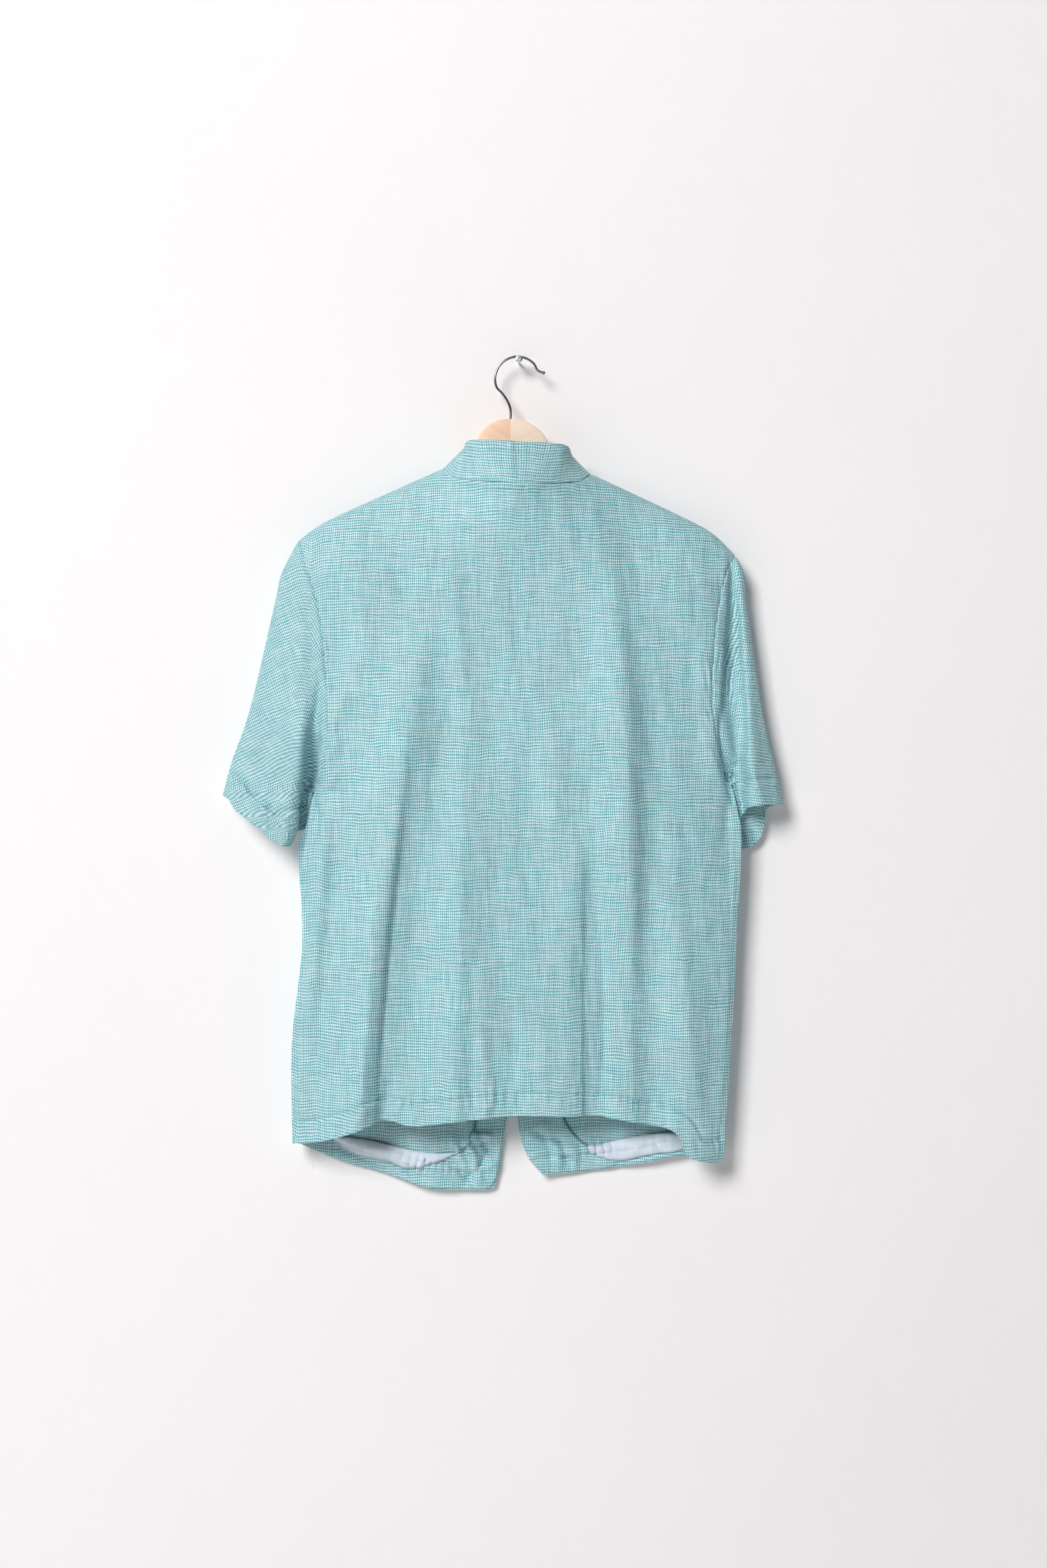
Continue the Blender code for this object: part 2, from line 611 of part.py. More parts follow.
def sleeve_grid(back_seam, front_seam, outer, inner, back_hem, front_hem, outward):
    """A sleeve's rows, from its top point to the hem. Each runs from the armhole or the underarm
    fold across the back half, over the outer fold and back across the front half."""
    shares = armhole_shares(smooth_line(back_seam))
    rows = np.concatenate([
        shares * SLEEVE_ARMHOLE_SHARE,
        SLEEVE_ARMHOLE_SHARE + np.array(SLEEVE_INNER_ROWS) * (1 - SLEEVE_ARMHOLE_SHARE),
    ])
    columns = np.array(SLEEVE_COLUMNS)
    outer_side = along(smooth_line(outer), rows)[:, :2]
    underarm = along(smooth_line(inner), SLEEVE_INNER_ROWS)[:, :2]
    halves = []
    for seam, hem, side in ((back_seam, back_hem, 1), (front_seam, front_hem, 2)):
        line = smooth_line(seam)
        armhole = along(moved_aside(line, outward * GAP / 2), armhole_shares(line))
        armhole[0] = outer_side[0] = line[0] + (outward * GAP, -GAP / 2)
        armhole[-1] = line[-1] + (outward * GAP, -GAP)
        inner_side = np.vstack([armhole, underarm])
        top = np.repeat(armhole[:1], len(columns), axis=0)
        bottom = along(smooth_line(hem), 1 - columns)
        xz = patch(top, bottom, inner_side, outer_side, columns, rows)
        points = on_cloth(xz, side, SLEEVE_EDGES)
        folded = np.zeros(points.shape[:2], bool)
        folded[0], folded[:, -1], folded[len(armhole) - 1 :, 0] = True, True, True
        points[folded, 1] = edge_depth(points[folded, 0], points[folded, 2], SLEEVE_EDGES)
        halves.append(points)
    back, front = halves
    return np.concatenate([back, front[:, -2::-1]], axis=1)


# ---- Facings inside the fronts, and the strips that they turn down

def facing_top_row():
    return 1 + len(row_shares()) - len(FACING_ROWS)


def facing_and_strip(name, front, strip_columns, cloth, pale):
    top_row = facing_top_row()
    edge_column = len(EDGE_COLUMNS) + SHOULDER_SPANS + FACING_COLUMN
    first = strip_columns[0]

    def in_facing(row, column):
        return column >= edge_column or (row >= top_row and column >= first)

    flip = name == "left"
    facing = inwards(front, np.full(front.shape[:2], WALL + GAP))
    sheet_object("facing_" + name, facing, cloth, FACING_WALL, flip, kept=in_facing)
    depth = np.full(front.shape[:2], WALL + 3 * GAP + FACING_WALL)
    depth[top_row + 1 : top_row + 3] += STRIP_PUFF
    strip = inwards(front, depth)[top_row : top_row + 3, first : strip_columns[1] + 1]
    sheet_object("facing_strip_" + name, strip, pale, FACING_WALL, flip)


# ---- Collar stand

def stand_base():
    """The neck seam, from the front middle round the left side, the back and the right side,
    and the angle that each point stands at."""
    seam, angles = [], []
    for neck, sign in ((NECK_FRONT_LEFT, 1), (NECK_FRONT_RIGHT, -1)):
        line = smooth_line(neck)
        xz = at_x(line, front_neck_columns(line)[: CENTRE_COLUMN + 1])
        part = on_cloth(xz, 2)
        part[:, 1] -= underlap(part[:, 0]) if sign < 0 else 0
        part[0, 1] = edge_depth(part[:1, 0], part[:1, 2])[0]
        turn = np.linspace(0, -90, len(part)) if sign > 0 else np.linspace(180, 270, len(part))
        seam.append(part)
        angles.append(turn)
    back_xz = at_x(smooth_line(NECK_BACK), back_neck_columns())
    back = on_cloth(back_xz, 1)
    back_angles = np.linspace(0, 180, len(back) + 2)[1:-1]
    base = np.vstack([seam[0][::-1], back, seam[1]]) + (0, 0, GAP)
    return base, np.concatenate([angles[0][::-1], back_angles, angles[1]])


def stand_grid():
    base, angles = stand_base()
    table = np.array(STAND_TOP)
    ring = smooth_line(table)
    top = np.column_stack([np.interp(angles, ring[:, 0], c) for c in ring.T[1:]])
    run = np.concatenate([[0], np.cumsum(np.linalg.norm(np.diff(base, axis=0), axis=1))])
    from_end = np.minimum(run, run[-1] - run)
    tall = np.linalg.norm(top - base, axis=1)
    kept = 1 - STAND_END_ROUND * (1 - rounded(from_end / STAND_END_ROUND)) / tall
    return np.array([base + share * kept[:, None] * (top - base) for share in STAND_ROWS])


# ---- Hanger, hook, nail and buttons

def hanger_stations(crown, shoulder, arm_end):
    """Columns x, top z, bottom z: the crown, then the arm just under the shoulder's cloth."""
    x1, _, z1 = crown[-1]
    xs = np.linspace(x1, arm_end, ARM_SPANS + 1)[1:]
    line = smooth_line(shoulder)
    tops = at_x(line, xs)[:, 1] - HANGER_CLEAR
    tops -= HANGER_NECK_DIP * np.clip((HANGER_DIP_X - np.abs(xs)) / HANGER_DIP_FADE, 0, 1)
    bottoms = np.linspace(z1, tops[-1] - ARM_END_HEIGHT, ARM_SPANS + 1)[1:]
    return list(crown) + list(zip(xs, tops, bottoms))


def bar_object(name, stations, material):
    """A bar lofted through sections with cut corners, one for each x, top z and bottom z."""
    half, cut = HANGER_THICKNESS / 2, HANGER_ROUND
    corner = HANGER_CORNER * cut
    mesh = bmesh.new()
    rings = []
    for x, top, bottom in stations:
        ring = []
        for y, z in (
            (-half, bottom + cut), (-half + cut, bottom), (half - cut, bottom),
            (half, bottom + cut), (half, top - cut), (half - corner, top - corner),
            (half - cut, top), (-half + cut, top), (-half + corner, top - corner),
            (-half, top - cut),
        ):
            ring.append(mesh.verts.new((x * MM, y * MM, z * MM)))
        rings.append(ring)
    for one, two in zip(rings, rings[1:]):
        for i in range(len(one)):
            j = (i + 1) % len(one)
            mesh.faces.new((one[i], one[j], two[j], two[i]))
    mesh.faces.new(rings[0])
    mesh.faces.new(rings[-1])
    bmesh.ops.recalc_face_normals(mesh, faces=mesh.faces)
    data = bpy.data.meshes.new(name)
    mesh.to_mesh(data)
    mesh.free()
    return add_object(name, data, material)


def hook_path():
    """Columns x, z, share of the wire's radius."""
    arc_z = -HOOK_ARC_RADIUS + WIRE_RADIUS + GAP / 2
    stem = smooth_line(HOOK_STEM, STEM_STEP)
    angles = np.radians(np.linspace(HOOK_ARC_START, HOOK_ARC_END, HOOK_ARC_POINTS))
    arc = np.column_stack([
        HOOK_ARC_X + HOOK_ARC_RADIUS * np.cos(angles), arc_z + HOOK_ARC_RADIUS * np.sin(angles),
    ])
    tail = smooth_line((arc[-1],) + HOOK_TAIL, TAIL_STEP)[1:]
    line = np.vstack([stem, arc, tail])
    path = [(x, z, 1.0) for x, z in line]
    run = (line[-1] - line[-2]) / np.linalg.norm(line[-1] - line[-2])
    for turn in BALL_TURNS:
        near, here = math.cos(math.radians(BALL_TURNS[0])), math.cos(math.radians(turn))
        x, z = line[-1] + run * (BALL_RADIUS * (near - here) + BALL_START)
        path.append((x, z, BALL_RADIUS * math.sin(math.radians(turn)) / WIRE_RADIUS))
    return path


def wire_object(name, path, material):
    curve = bpy.data.curves.new(name, "CURVE")
    curve.dimensions = "3D"
    curve.bevel_depth = WIRE_RADIUS * MM
    curve.bevel_resolution = 2
    curve.use_fill_caps = True
    spline = curve.splines.new("POLY")
    spline.points.add(len(path) - 1)
    for point, (x, z, share) in zip(spline.points, path):
        point.co = (x * MM, 0.0, z * MM, 1.0)
        point.radius = share
    return add_object(name, curve, material)


def turned_object(name, profile, material, place, steps):
    """A profile of radius and height turned about its axis, laid along Y with its top at -Y."""
    data = bpy.data.meshes.new(name)
    verts = [(radius * MM, 0.0, height * MM) for radius, height in profile]
    data.from_pydata(verts, [(i, i + 1) for i in range(len(verts) - 1)], [])
    made = add_object(name, data, material)
    turn = made.modifiers.new("turn", "SCREW")
    turn.steps = turn.render_steps = steps
    turn.use_merge_vertices = True
    turn.merge_threshold = 0.00001
    made.rotation_euler = (math.radians(90), 0.0, 0.0)
    made.location = [value * MM for value in place]
    return made


def nail_profile():
    bottom = -WALL_FACE_Y
    front, back = -NAIL_HEAD_FRONT, -NAIL_HEAD_BACK
    return (
        (0.0, front), (NAIL_FACE_SHARE * NAIL_HEAD_RADIUS, front),
        (NAIL_HEAD_RADIUS, front - NAIL_BEVEL),
        (NAIL_HEAD_RADIUS, back), (NAIL_RADIUS, back), (NAIL_RADIUS, bottom), (0.0, bottom),
    )


def button_profile():
    """Its top is towards the cloth, since it lies on the wall side of the fronts."""
    half, radius, edge = BUTTON_THICKNESS / 2, BUTTON_RADIUS, BUTTON_EDGE
    return (
        (0.0, half), (radius - edge, half), (radius, half - edge), (radius, edge - half),
        (radius - edge, -half), (radius - BUTTON_RIM, -half),
        (radius - BUTTON_RIM - BUTTON_DISH, BUTTON_DISH - half), (0.0, BUTTON_DISH - half),
    )


def add_buttons(material):
    for number in range(BUTTON_COUNT):
        z = BUTTON_TOP_Z - BUTTON_STEP * number
        out = float(stands_out(np.array([BUTTON_X]), np.array([z]), 2)[0])
        y = out + BUTTON_STAND_OFF + BUTTON_THICKNESS / 2
        place = (BUTTON_X, y, z)
        turned_object(f"button_{number + 1}", button_profile(), material, place, BUTTON_STEPS)


def build():
    clear_scene()
    bpy.context.scene.collection.children.link(bpy.data.collections.new(COLLECTION))
    cloth = new_material("check_cloth", TEAL, 0.9)
    pale = new_material("facing_interlining", PALE_BLUE, 0.9)

    sheet_object("back", back_grid(), cloth, WALL, flip=False)
    front_left = front_grid(
        ARMHOLE_FRONT_LEFT, SIDE_LEFT, SHOULDER_LEFT, NECK_FRONT_LEFT, FRONT_EDGE_LEFT,
        HEM_FRONT_LEFT, 1,
    )
    front_right = front_grid(
        ARMHOLE_FRONT_RIGHT, SIDE_RIGHT, SHOULDER_RIGHT, NECK_FRONT_RIGHT, FRONT_EDGE_RIGHT,
        HEM_FRONT_RIGHT, -1,
    )
    sheet_object("front_left", front_left, cloth, WALL, flip=True)
    sheet_object("front_right", front_right, cloth, WALL, flip=False)
    sleeve_left = sleeve_grid(
        ARMHOLE_BACK_LEFT, ARMHOLE_FRONT_LEFT, SLEEVE_OUTER_LEFT, SLEEVE_INNER_LEFT,
        SLEEVE_HEM_BACK_LEFT, SLEEVE_HEM_FRONT_LEFT, -1,
    )
    sleeve_right = sleeve_grid(
        ARMHOLE_BACK_RIGHT, ARMHOLE_FRONT_RIGHT, SLEEVE_OUTER_RIGHT, SLEEVE_INNER_RIGHT,
        SLEEVE_HEM_BACK_RIGHT, SLEEVE_HEM_FRONT_RIGHT, 1,
    )
    sheet_object("sleeve_left", sleeve_left, cloth, WALL, flip=True)
    sheet_object("sleeve_right", sleeve_right, cloth, WALL, flip=False)
    sheet_object("collar", stand_grid(), cloth, STAND_WALL, flip=True)
    facing_and_strip("left", front_left, STRIP_COLUMNS_LEFT, cloth, pale)
    facing_and_strip("right", front_right, STRIP_COLUMNS_RIGHT, cloth, pale)

    left = hanger_stations(CROWN_LEFT, SHOULDER_LEFT, ARM_END_LEFT)
    right = hanger_stations(CROWN_RIGHT, SHOULDER_RIGHT, ARM_END_RIGHT)
    for stations, shift in ((left, -GAP / 2), (right, GAP / 2)):
        stations[0] = (stations[0][0] + shift,) + tuple(stations[0][1:])
    bar_object("hanger_left", left, new_material("wood_left", WOOD_LEFT, 0.55))
    bar_object("hanger_right", right, new_material("wood_right", WOOD_RIGHT, 0.55))
    wire_object("hook", hook_path(), new_material("chrome", CHROME, 0.15, 1.0))
    nail = new_material("nail_steel", STEEL, 0.35, 1.0)
    place = (0.0, 0.0, -NAIL_RADIUS - GAP / 2)
    turned_object("nail", nail_profile(), nail, place, NAIL_STEPS)
    add_buttons(new_material("button", BUTTON_COLOUR, 0.35))


build()
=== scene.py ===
"""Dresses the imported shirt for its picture: fine cloth, sewing, wood, metal, wall and light.

Sizes in the tables are in millimetres, in the row frame: the shirt's back faces -Y, the wall is
at +Y, and the hook rests on the nail at the origin. Cloth pieces lie on the same surfaces as the
solids that they replace, with finer grids and with the creases and the sewing added.
"""

import math
from types import SimpleNamespace

import bmesh
import bpy
import numpy as np
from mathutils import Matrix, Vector
from mathutils.kdtree import KDTree


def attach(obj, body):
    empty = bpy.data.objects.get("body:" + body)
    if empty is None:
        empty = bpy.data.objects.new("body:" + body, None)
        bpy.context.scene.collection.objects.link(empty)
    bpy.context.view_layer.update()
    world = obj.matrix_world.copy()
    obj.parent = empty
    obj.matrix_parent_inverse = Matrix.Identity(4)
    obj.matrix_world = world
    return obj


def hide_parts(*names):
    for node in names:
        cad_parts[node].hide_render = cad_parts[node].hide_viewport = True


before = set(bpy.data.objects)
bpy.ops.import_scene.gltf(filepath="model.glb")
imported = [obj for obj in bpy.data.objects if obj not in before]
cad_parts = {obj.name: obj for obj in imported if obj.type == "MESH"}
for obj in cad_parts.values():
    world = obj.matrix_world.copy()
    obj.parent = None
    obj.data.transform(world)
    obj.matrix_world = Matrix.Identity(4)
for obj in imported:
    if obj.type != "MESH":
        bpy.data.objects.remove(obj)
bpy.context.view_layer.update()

MM = 0.001
BACK, FRONT = 1, 2  # the shirt's two sides, and their columns in STAND_OUT
ACROSS, DOWN = 8, 5  # this scene's columns and rows for each one of the solids'

# The cloth's surface
WALL = 1.4  # depth of the solids' cloth, which decides where the facings lie
CLOTH, STAND_CLOTH = 0.9, 1.8  # thickness here: the stand is two layers and a stiffener
GAP = 0.04
LIP = 2.0  # straight margin beside a seam on a folded edge
EASE = 45.0  # how quickly the cloth comes forward from a folded edge
EDGE_STAND_OUT, EDGE_LEAST = 9.0, 1.0
FOLD_MARGIN = 12.0
FOLD_END, FOLD_END_FADE = 12.0, 25.0
MERGE = 0.01

# The halves, left and right in the picture. Folded edges (shoulder, sleeve_outer, sleeve_inner,
# side) have the columns x, z, y, radius towards the back, radius towards the fronts. Seams and
# hems on the open cloth have x, z.
LEFT = SimpleNamespace(
    name="left",
    inward=1,  # the way to the middle in x
    shoulder=(
        (-83, -121, -1, 9, 9), (-144, -148, 0, 9, 9), (-207, -177, 0, 9, 9),
        (-238.5, -198.7, -1, 9, 9),
    ),
    sleeve_outer=(
        (-238.5, -198.7, -1, 9, 9), (-257.5, -235, -2, 9, 9), (-264, -264, -2, 9, 9),
        (-291, -380, -4, 10, 8), (-311, -438, -4, 10, 8), (-321, -475, -4, 10, 8),
    ),
    sleeve_inner=(
        (-223, -472, 0, 5, 5), (-224.2, -480, 3.5, 8, 4), (-225.2, -492, 6.5, 12, 4),
        (-228, -511, 8.5, 17, 4),
    ),
    side=(
        (-223, -472, 0, 5, 5), (-226.5, -490, -7, 8, 18), (-229.5, -508, -11, 10, 24),
        (-238, -535, -11, 12, 20), (-234, -633, -10, 14, 14), (-245, -741, -10, 14, 14),
        (-245, -851, -10, 14, 14),
    ),
    armhole_back=(
        (-238.5, -198.7), (-231, -222), (-213, -290), (-206, -390), (-210, -442), (-223, -472),
    ),
    armhole_front=(
        (-238.5, -198.7), (-222, -235), (-204, -310), (-200, -400), (-208, -450), (-223, -472),
    ),
    neck=(
        (-83, -121), (-76, -150), (-55, -178), (-28, -193), (-3, -197), (9.5, -197.5),
    ),
    front_edge=(
        (9.5, -197.5), (9.5, -450), (9, -650), (0, -750), (-13, -825), (-20, -865), (-26, -902),
    ),
    hem=(
        (-245, -851), (-225, -861), (-189, -875), (-145, -888), (-101, -903), (-66, -905),
        (-36, -906), (-26, -902),
    ),
    hem_stitched=(-232, -42),  # from and to in x
    sleeve_hem_back=(
        (-321, -475), (-312, -480), (-307, -489), (-280, -510), (-258, -528), (-249, -528),
        (-243, -516), (-228, -511),
    ),
    sleeve_hem_front=(
        (-321, -475), (-300, -487), (-268, -504), (-244, -511), (-228, -511),
    ),
    sleeve_stitched=(-308, -240),
    sleeve_turn=25.0,  # height of the sleeve's hem
    sleeve_grain=-23.0,  # turn of the check, in degrees
    # Facing inside the front, along the front edge and round to the hem: inner x, z, outer x, z.
    facing=(
        (-28, -193.5, 8.5, -198.5), (-30, -330, 8.5, -330), (-31, -500, 8.3, -500),
        (-33, -650, 7.5, -650), (-38, -750, -1.5, -750), (-44, -806, -11.5, -812),
        (-48, -828, -16.5, -840), (-52, -844, -21, -868), (-56, -855, -26, -896),
        (-66, -862, -38, -905), (-83, -864.5, -66, -904), (-113, -863, -101, -902),
        (-136, -857.5, -128, -893.5), (-163, -850.5, -158, -883.5), (-185, -846, -184, -875.5),
        (-203, -843, -204, -869),
    ),
    serge_reach=78.0,  # the facing's inner edge is overlocked up to this far from the middle
    # Its free edge, flopped down with its pale back showing: fold x, z, edge x, z, how far the
    # fold stands off the facing.
    strip=(
        (-200, -846.5, -201, -853, 0.3), (-190, -847.5, -187, -863.5, 1),
        (-163, -851, -155, -872.5, 2.2), (-136, -857, -136, -878.5, 2.6),
        (-113, -862.5, -120, -881, 1.8), (-90, -864.5, -98, -877.5, 1.4),
        (-76, -864.5, -80, -870, 0.8), (-66, -862.5, -67, -865, 0.3),
    ),
    # The hanger's crown on both sides of its middle: x, top z, bottom z.
    crown=(
        (-9, -66.5, -152), (-22, -68, -153), (-34, -74, -154), (-42, -83, -155), (-47, -95, -156),
        (-53, -112, -157), (-62, -122.5, -158),
    ),
    arm_end=-221.0,
    wood_light=(0.99, 0.67, 0.48), wood_dark=(0.92, 0.56, 0.39), wood_lean=-28.0,
)
RIGHT = SimpleNamespace(
    name="right",
    inward=-1,
    shoulder=(
        (78, -126.5, -1, 9, 9), (125, -148, 0, 9, 9), (186, -177, 0, 9, 9), (211, -191.5, 0, 9, 9),
        (235, -215.5, -1, 9, 9),
    ),
    sleeve_outer=(
        (235, -215.5, -1, 9, 9), (244, -235, -2, 9, 9), (246.5, -264, -2, 9, 9),
        (263, -380, -4, 10, 8), (276, -438, -4, 10, 8), (286.5, -484, -4, 10, 8),
    ),
    sleeve_inner=(
        (232, -465, 0, 5, 5), (233.6, -475, 3.5, 9, 4), (235.4, -490, 6, 13, 4),
        (237, -510, 6.5, 14, 4), (239, -534, 7, 14, 4),
    ),
    side=(
        (232, -465, 0, 5, 5), (236, -490, -8, 8, 14), (240.5, -525, -12, 10, 18),
        (235, -633, -10, 14, 14), (231, -720, -10, 14, 14), (221, -869, -10, 14, 14),
    ),
    armhole_back=(
        (235, -215.5), (221, -245), (211, -310), (208.5, -375), (216, -422), (232, -465),
    ),
    armhole_front=(
        (235, -215.5), (214, -255), (198, -320), (196, -400), (210, -445), (232, -465),
    ),
    neck=(
        (78, -126.5), (70, -154), (48, -181), (22, -194.5), (-3, -198), (-15.5, -198.5),
    ),
    front_edge=(
        (-15.5, -198.5), (-15.5, -450), (-14.5, -650), (-9, -750), (-2, -825), (8, -865),
        (26, -889),
    ),
    hem=(
        (221, -869), (173, -868), (132, -877), (79, -885), (44, -888.5), (26, -889),
    ),
    hem_stitched=(40, 212),
    sleeve_hem_back=(
        (286.5, -484), (262, -485.5), (246, -489), (240.5, -500), (239.5, -518), (239, -534),
    ),
    sleeve_hem_front=(
        (286.5, -484), (270, -490), (267.5, -510), (261, -525), (250, -532), (239, -534),
    ),
    sleeve_stitched=(243, 276),
    sleeve_turn=28.0,
    sleeve_grain=5.0,
    facing=(
        (26.5, -195, -14.5, -199.5), (30, -330, -14.5, -330), (30, -500, -14.3, -500),
        (30.5, -650, -13, -650), (34, -750, -7.5, -750), (42, -806, -2.5, -812),
        (49, -826, 3, -840), (57, -840, 8, -860), (66, -850, 17, -878), (76, -856.5, 34, -887),
        (90, -857, 60, -886), (114, -849.5, 98, -881), (140, -844, 134, -875),
        (160, -842, 160, -869), (180, -840, 184, -866.5),
    ),
    serge_reach=84.0,
    strip=(
        (178, -841.5, 179, -860, 0.6), (167, -842, 168, -863, 1.6), (140, -844.5, 140, -866, 2.6),
        (114, -849.5, 116, -871.5, 2), (98, -854, 99, -872.5, 1.6), (84, -858.5, 86, -868, 0.9),
        (74, -857, 74.5, -861, 0.3),
    ),
    crown=(
        (-9, -66.5, -152), (5, -68.5, -153), (18, -75, -154), (27, -84, -155), (33, -98, -156),
        (42, -117, -158), (56, -127.5, -160),
    ),
    arm_end=199.0,
    wood_light=(1.0, 0.81, 0.64), wood_dark=(0.99, 0.73, 0.56), wood_lean=24.0,
)
HALVES = (LEFT, RIGHT)
NECK_BACK = (
    (-83, -121), (-76, -130), (-63, -135.5), (-24, -141), (20, -143), (58, -139), (71, -134),
    (78, -126.5),
)
HEM_BACK = (
    (-245, -851), (-215, -847.5), (-177, -836), (-145, -823), (-113, -829.5), (-64, -823),
    (0, -818), (77, -819.5), (121, -825), (160, -833), (173, -843), (181, -862), (205, -870.5),
    (221, -869),
)
HEM_STITCHED = (-236, 213)

# How far the cloth stands out. Columns: z, back, fronts.
STAND_OUT = (
    (-120, 30, 12), (-300, 29, 13), (-450, 32, 13), (-650, 34, 13), (-906, 38, 13),
)
NECK_BULGE = 26.0  # further out at the middle of the back neck
NECK_BULGE_X, NECK_BULGE_Z = 75.0, 110.0  # how far it spreads across and down
NECK_BULGE_TOP = -135.0

# Folds: soft ridges (+) and troughs (-) along a line through three points. Columns: top x, top z,
# middle x, middle z, bottom x, bottom z, height, width to the left, width to the right, length
# over which the fold rises from nothing at its top.
BACK_FOLDS = (
    (-92, -230, -130, -480, -158, -850, 9, 42, 20, 200),  # long left ridge
    (-66, -330, -100, -520, -138, -850, -5, 14, 30, 150),  # trough beside it
    (-62, -260, -52, -480, -42, -850, 3, 30, 18, 150),
    (106, -210, 118, -480, 122, -850, 8, 44, 20, 200),  # wide right ridge
    (74, -500, 69, -680, 70, -850, -11, 15, 11, 170),  # sharp right crease
    (-200, -440, -216, -600, -232, -800, 4, 16, 12, 120),
    (166, -480, 172, -640, 196, -860, 5, 20, 12, 150),
    (-212, -370, -222, -430, -227, -500, -15, 6, 12, 90),  # left armpit
    (-238, -430, -246, -500, -254, -530, 9, 26, 5, 60),  # its sleeve corner
    (232, -235, 237, -380, 240, -500, -16, 12, 6, 150),  # right sleeve trough
    (246, -330, 248, -430, 250, -490, 8, 5, 20, 100),  # its sleeve ridge
)
FRONT_FOLDS = (
    (-150, -250, -162, -520, -150, -880, 3, 32, 22, 180),
    (-70, -380, -84, -640, -92, -900, -3.5, 24, 30, 200),
    (84, -280, 96, -580, 86, -890, 3, 22, 34, 180),
    (150, -430, 158, -640, 160, -880, -3.5, 26, 18, 160),
)
FOLDS = {BACK: BACK_FOLDS, FRONT: FRONT_FOLDS}

# Grid lines. Widths are taken at the shoulders, in mm from a piece's edge.
EDGE_COLUMNS = (0.0, 2.0, 7.0, 14.0)  # beside a folded side
SHOULDER_SPANS = 7  # from there to the neck
NECK_SPANS = 9  # across the back neck
# Shares of the front neck's width
NECK_FRONT_COLUMNS = (0.0, 0.015, 0.04, 0.12, 0.28, 0.44, 0.6, 0.72, 0.84, 0.93, 1.0)
CENTRE_COLUMN = 8  # the collar stand ends here, counted along NECK_FRONT_COLUMNS
ARMHOLE_TOP_ROWS = (0.0, 1.5, 5.0, 10.0, 24.0)  # beside the shoulder seam
ARMHOLE_END_ROWS = (20.0, 9.0, 3.0, 0.0)  # above the underarm
ARMHOLE_SPANS = 7
SIDE_TOP_ROWS = (4.0, 12.0, 26.0)  # below the underarm
SIDE_SPANS = 10
FACING_ROWS = (0.945, 0.961, 0.977, 1.0)  # facing top, turned-down strip, strip's edge, hem
UNDERARM_SHARE = 0.42  # of the length from the shoulder to the hem
SLEEVE_ARMHOLE_SHARE = 0.86  # of a sleeve's inner side that is armhole seam
SLEEVE_INNER_ROWS = (0.12, 0.3, 0.55, 0.8, 1.0)  # below the underarm
SLEEVE_COLUMNS = (0.0, 0.03, 0.08, 0.2, 0.36, 0.52, 0.68, 0.82, 0.92, 0.975, 1.0)
# Close rows along the hems: the share of an edge where they start, and how many there are
HEM_ROWS_START, HEM_ROWS = 0.88, 34
SLEEVE_ROWS_START, SLEEVE_ROWS = 0.3, 26

# The right front lies under the left one at the middle.
UNDERLAP_DEPTH, UNDERLAP_END, UNDERLAP_FADE = 3.6, 14.0, 36.0

# Collar stand, top edge. Columns: angle round from the left side, x, y, z.
STAND_TOP = (
    (-90, -5, 12.5, -158), (-60, -33, 12, -147), (-35, -52, 11, -124), (-20, -57, 9, -111),
    (-10, -59, 2, -104), (0, -59, -8, -99), (45, -50, -40, -95), (90, -2, -47, -98),
    (135, 47, -40, -100), (180, 56, -8, -105), (190, 56, 2, -110), (200, 54.5, 9, -117),
    (215, 49, 10.5, -130), (240, 30, 10.5, -150), (270, 0, 9.4, -160),
)
STAND_ROWS = (0.0, 0.3, 0.65, 1.0)
STAND_FINER = 6
STAND_END_ROUND = 14.0  # radius of the stand's front corners
STAND_RIPPLES = ((0.35, 14.0, 30.0, 71), (0.9, 42.0, 90.0, 72))  # height, lengths, seed
STAND_DENT, STAND_DENT_OFF, STAND_DENT_WIDTHS = 1.9, 4.0, (16.0, 4.5)  # left of the middle
STAND_GROOVE, STAND_GROOVE_REACH = 0.35, 0.03  # under its row of stitches
STAND_STITCH, STAND_STITCH_LIFT = 0.77, 0.2  # share of its height where they run

# Facings and their strips
FACING_ACROSS, STRIP_ACROSS = 21, 9  # grid columns
FACING_LINE_STEP = 2.5
FACING_GAP, FACING_CLOTH = 0.25, 0.7
STRIP_GAP, STRIP_CLOTH = 0.9, 0.5
STRIP_LIFT, STRIP_ARCH_START, STRIP_ARCH = 0.25, 0.15, 0.8  # shares of half a wave
STRIP_RIPPLE = (0.35, 9.0, 20.0, 81)  # height, lengths, seed

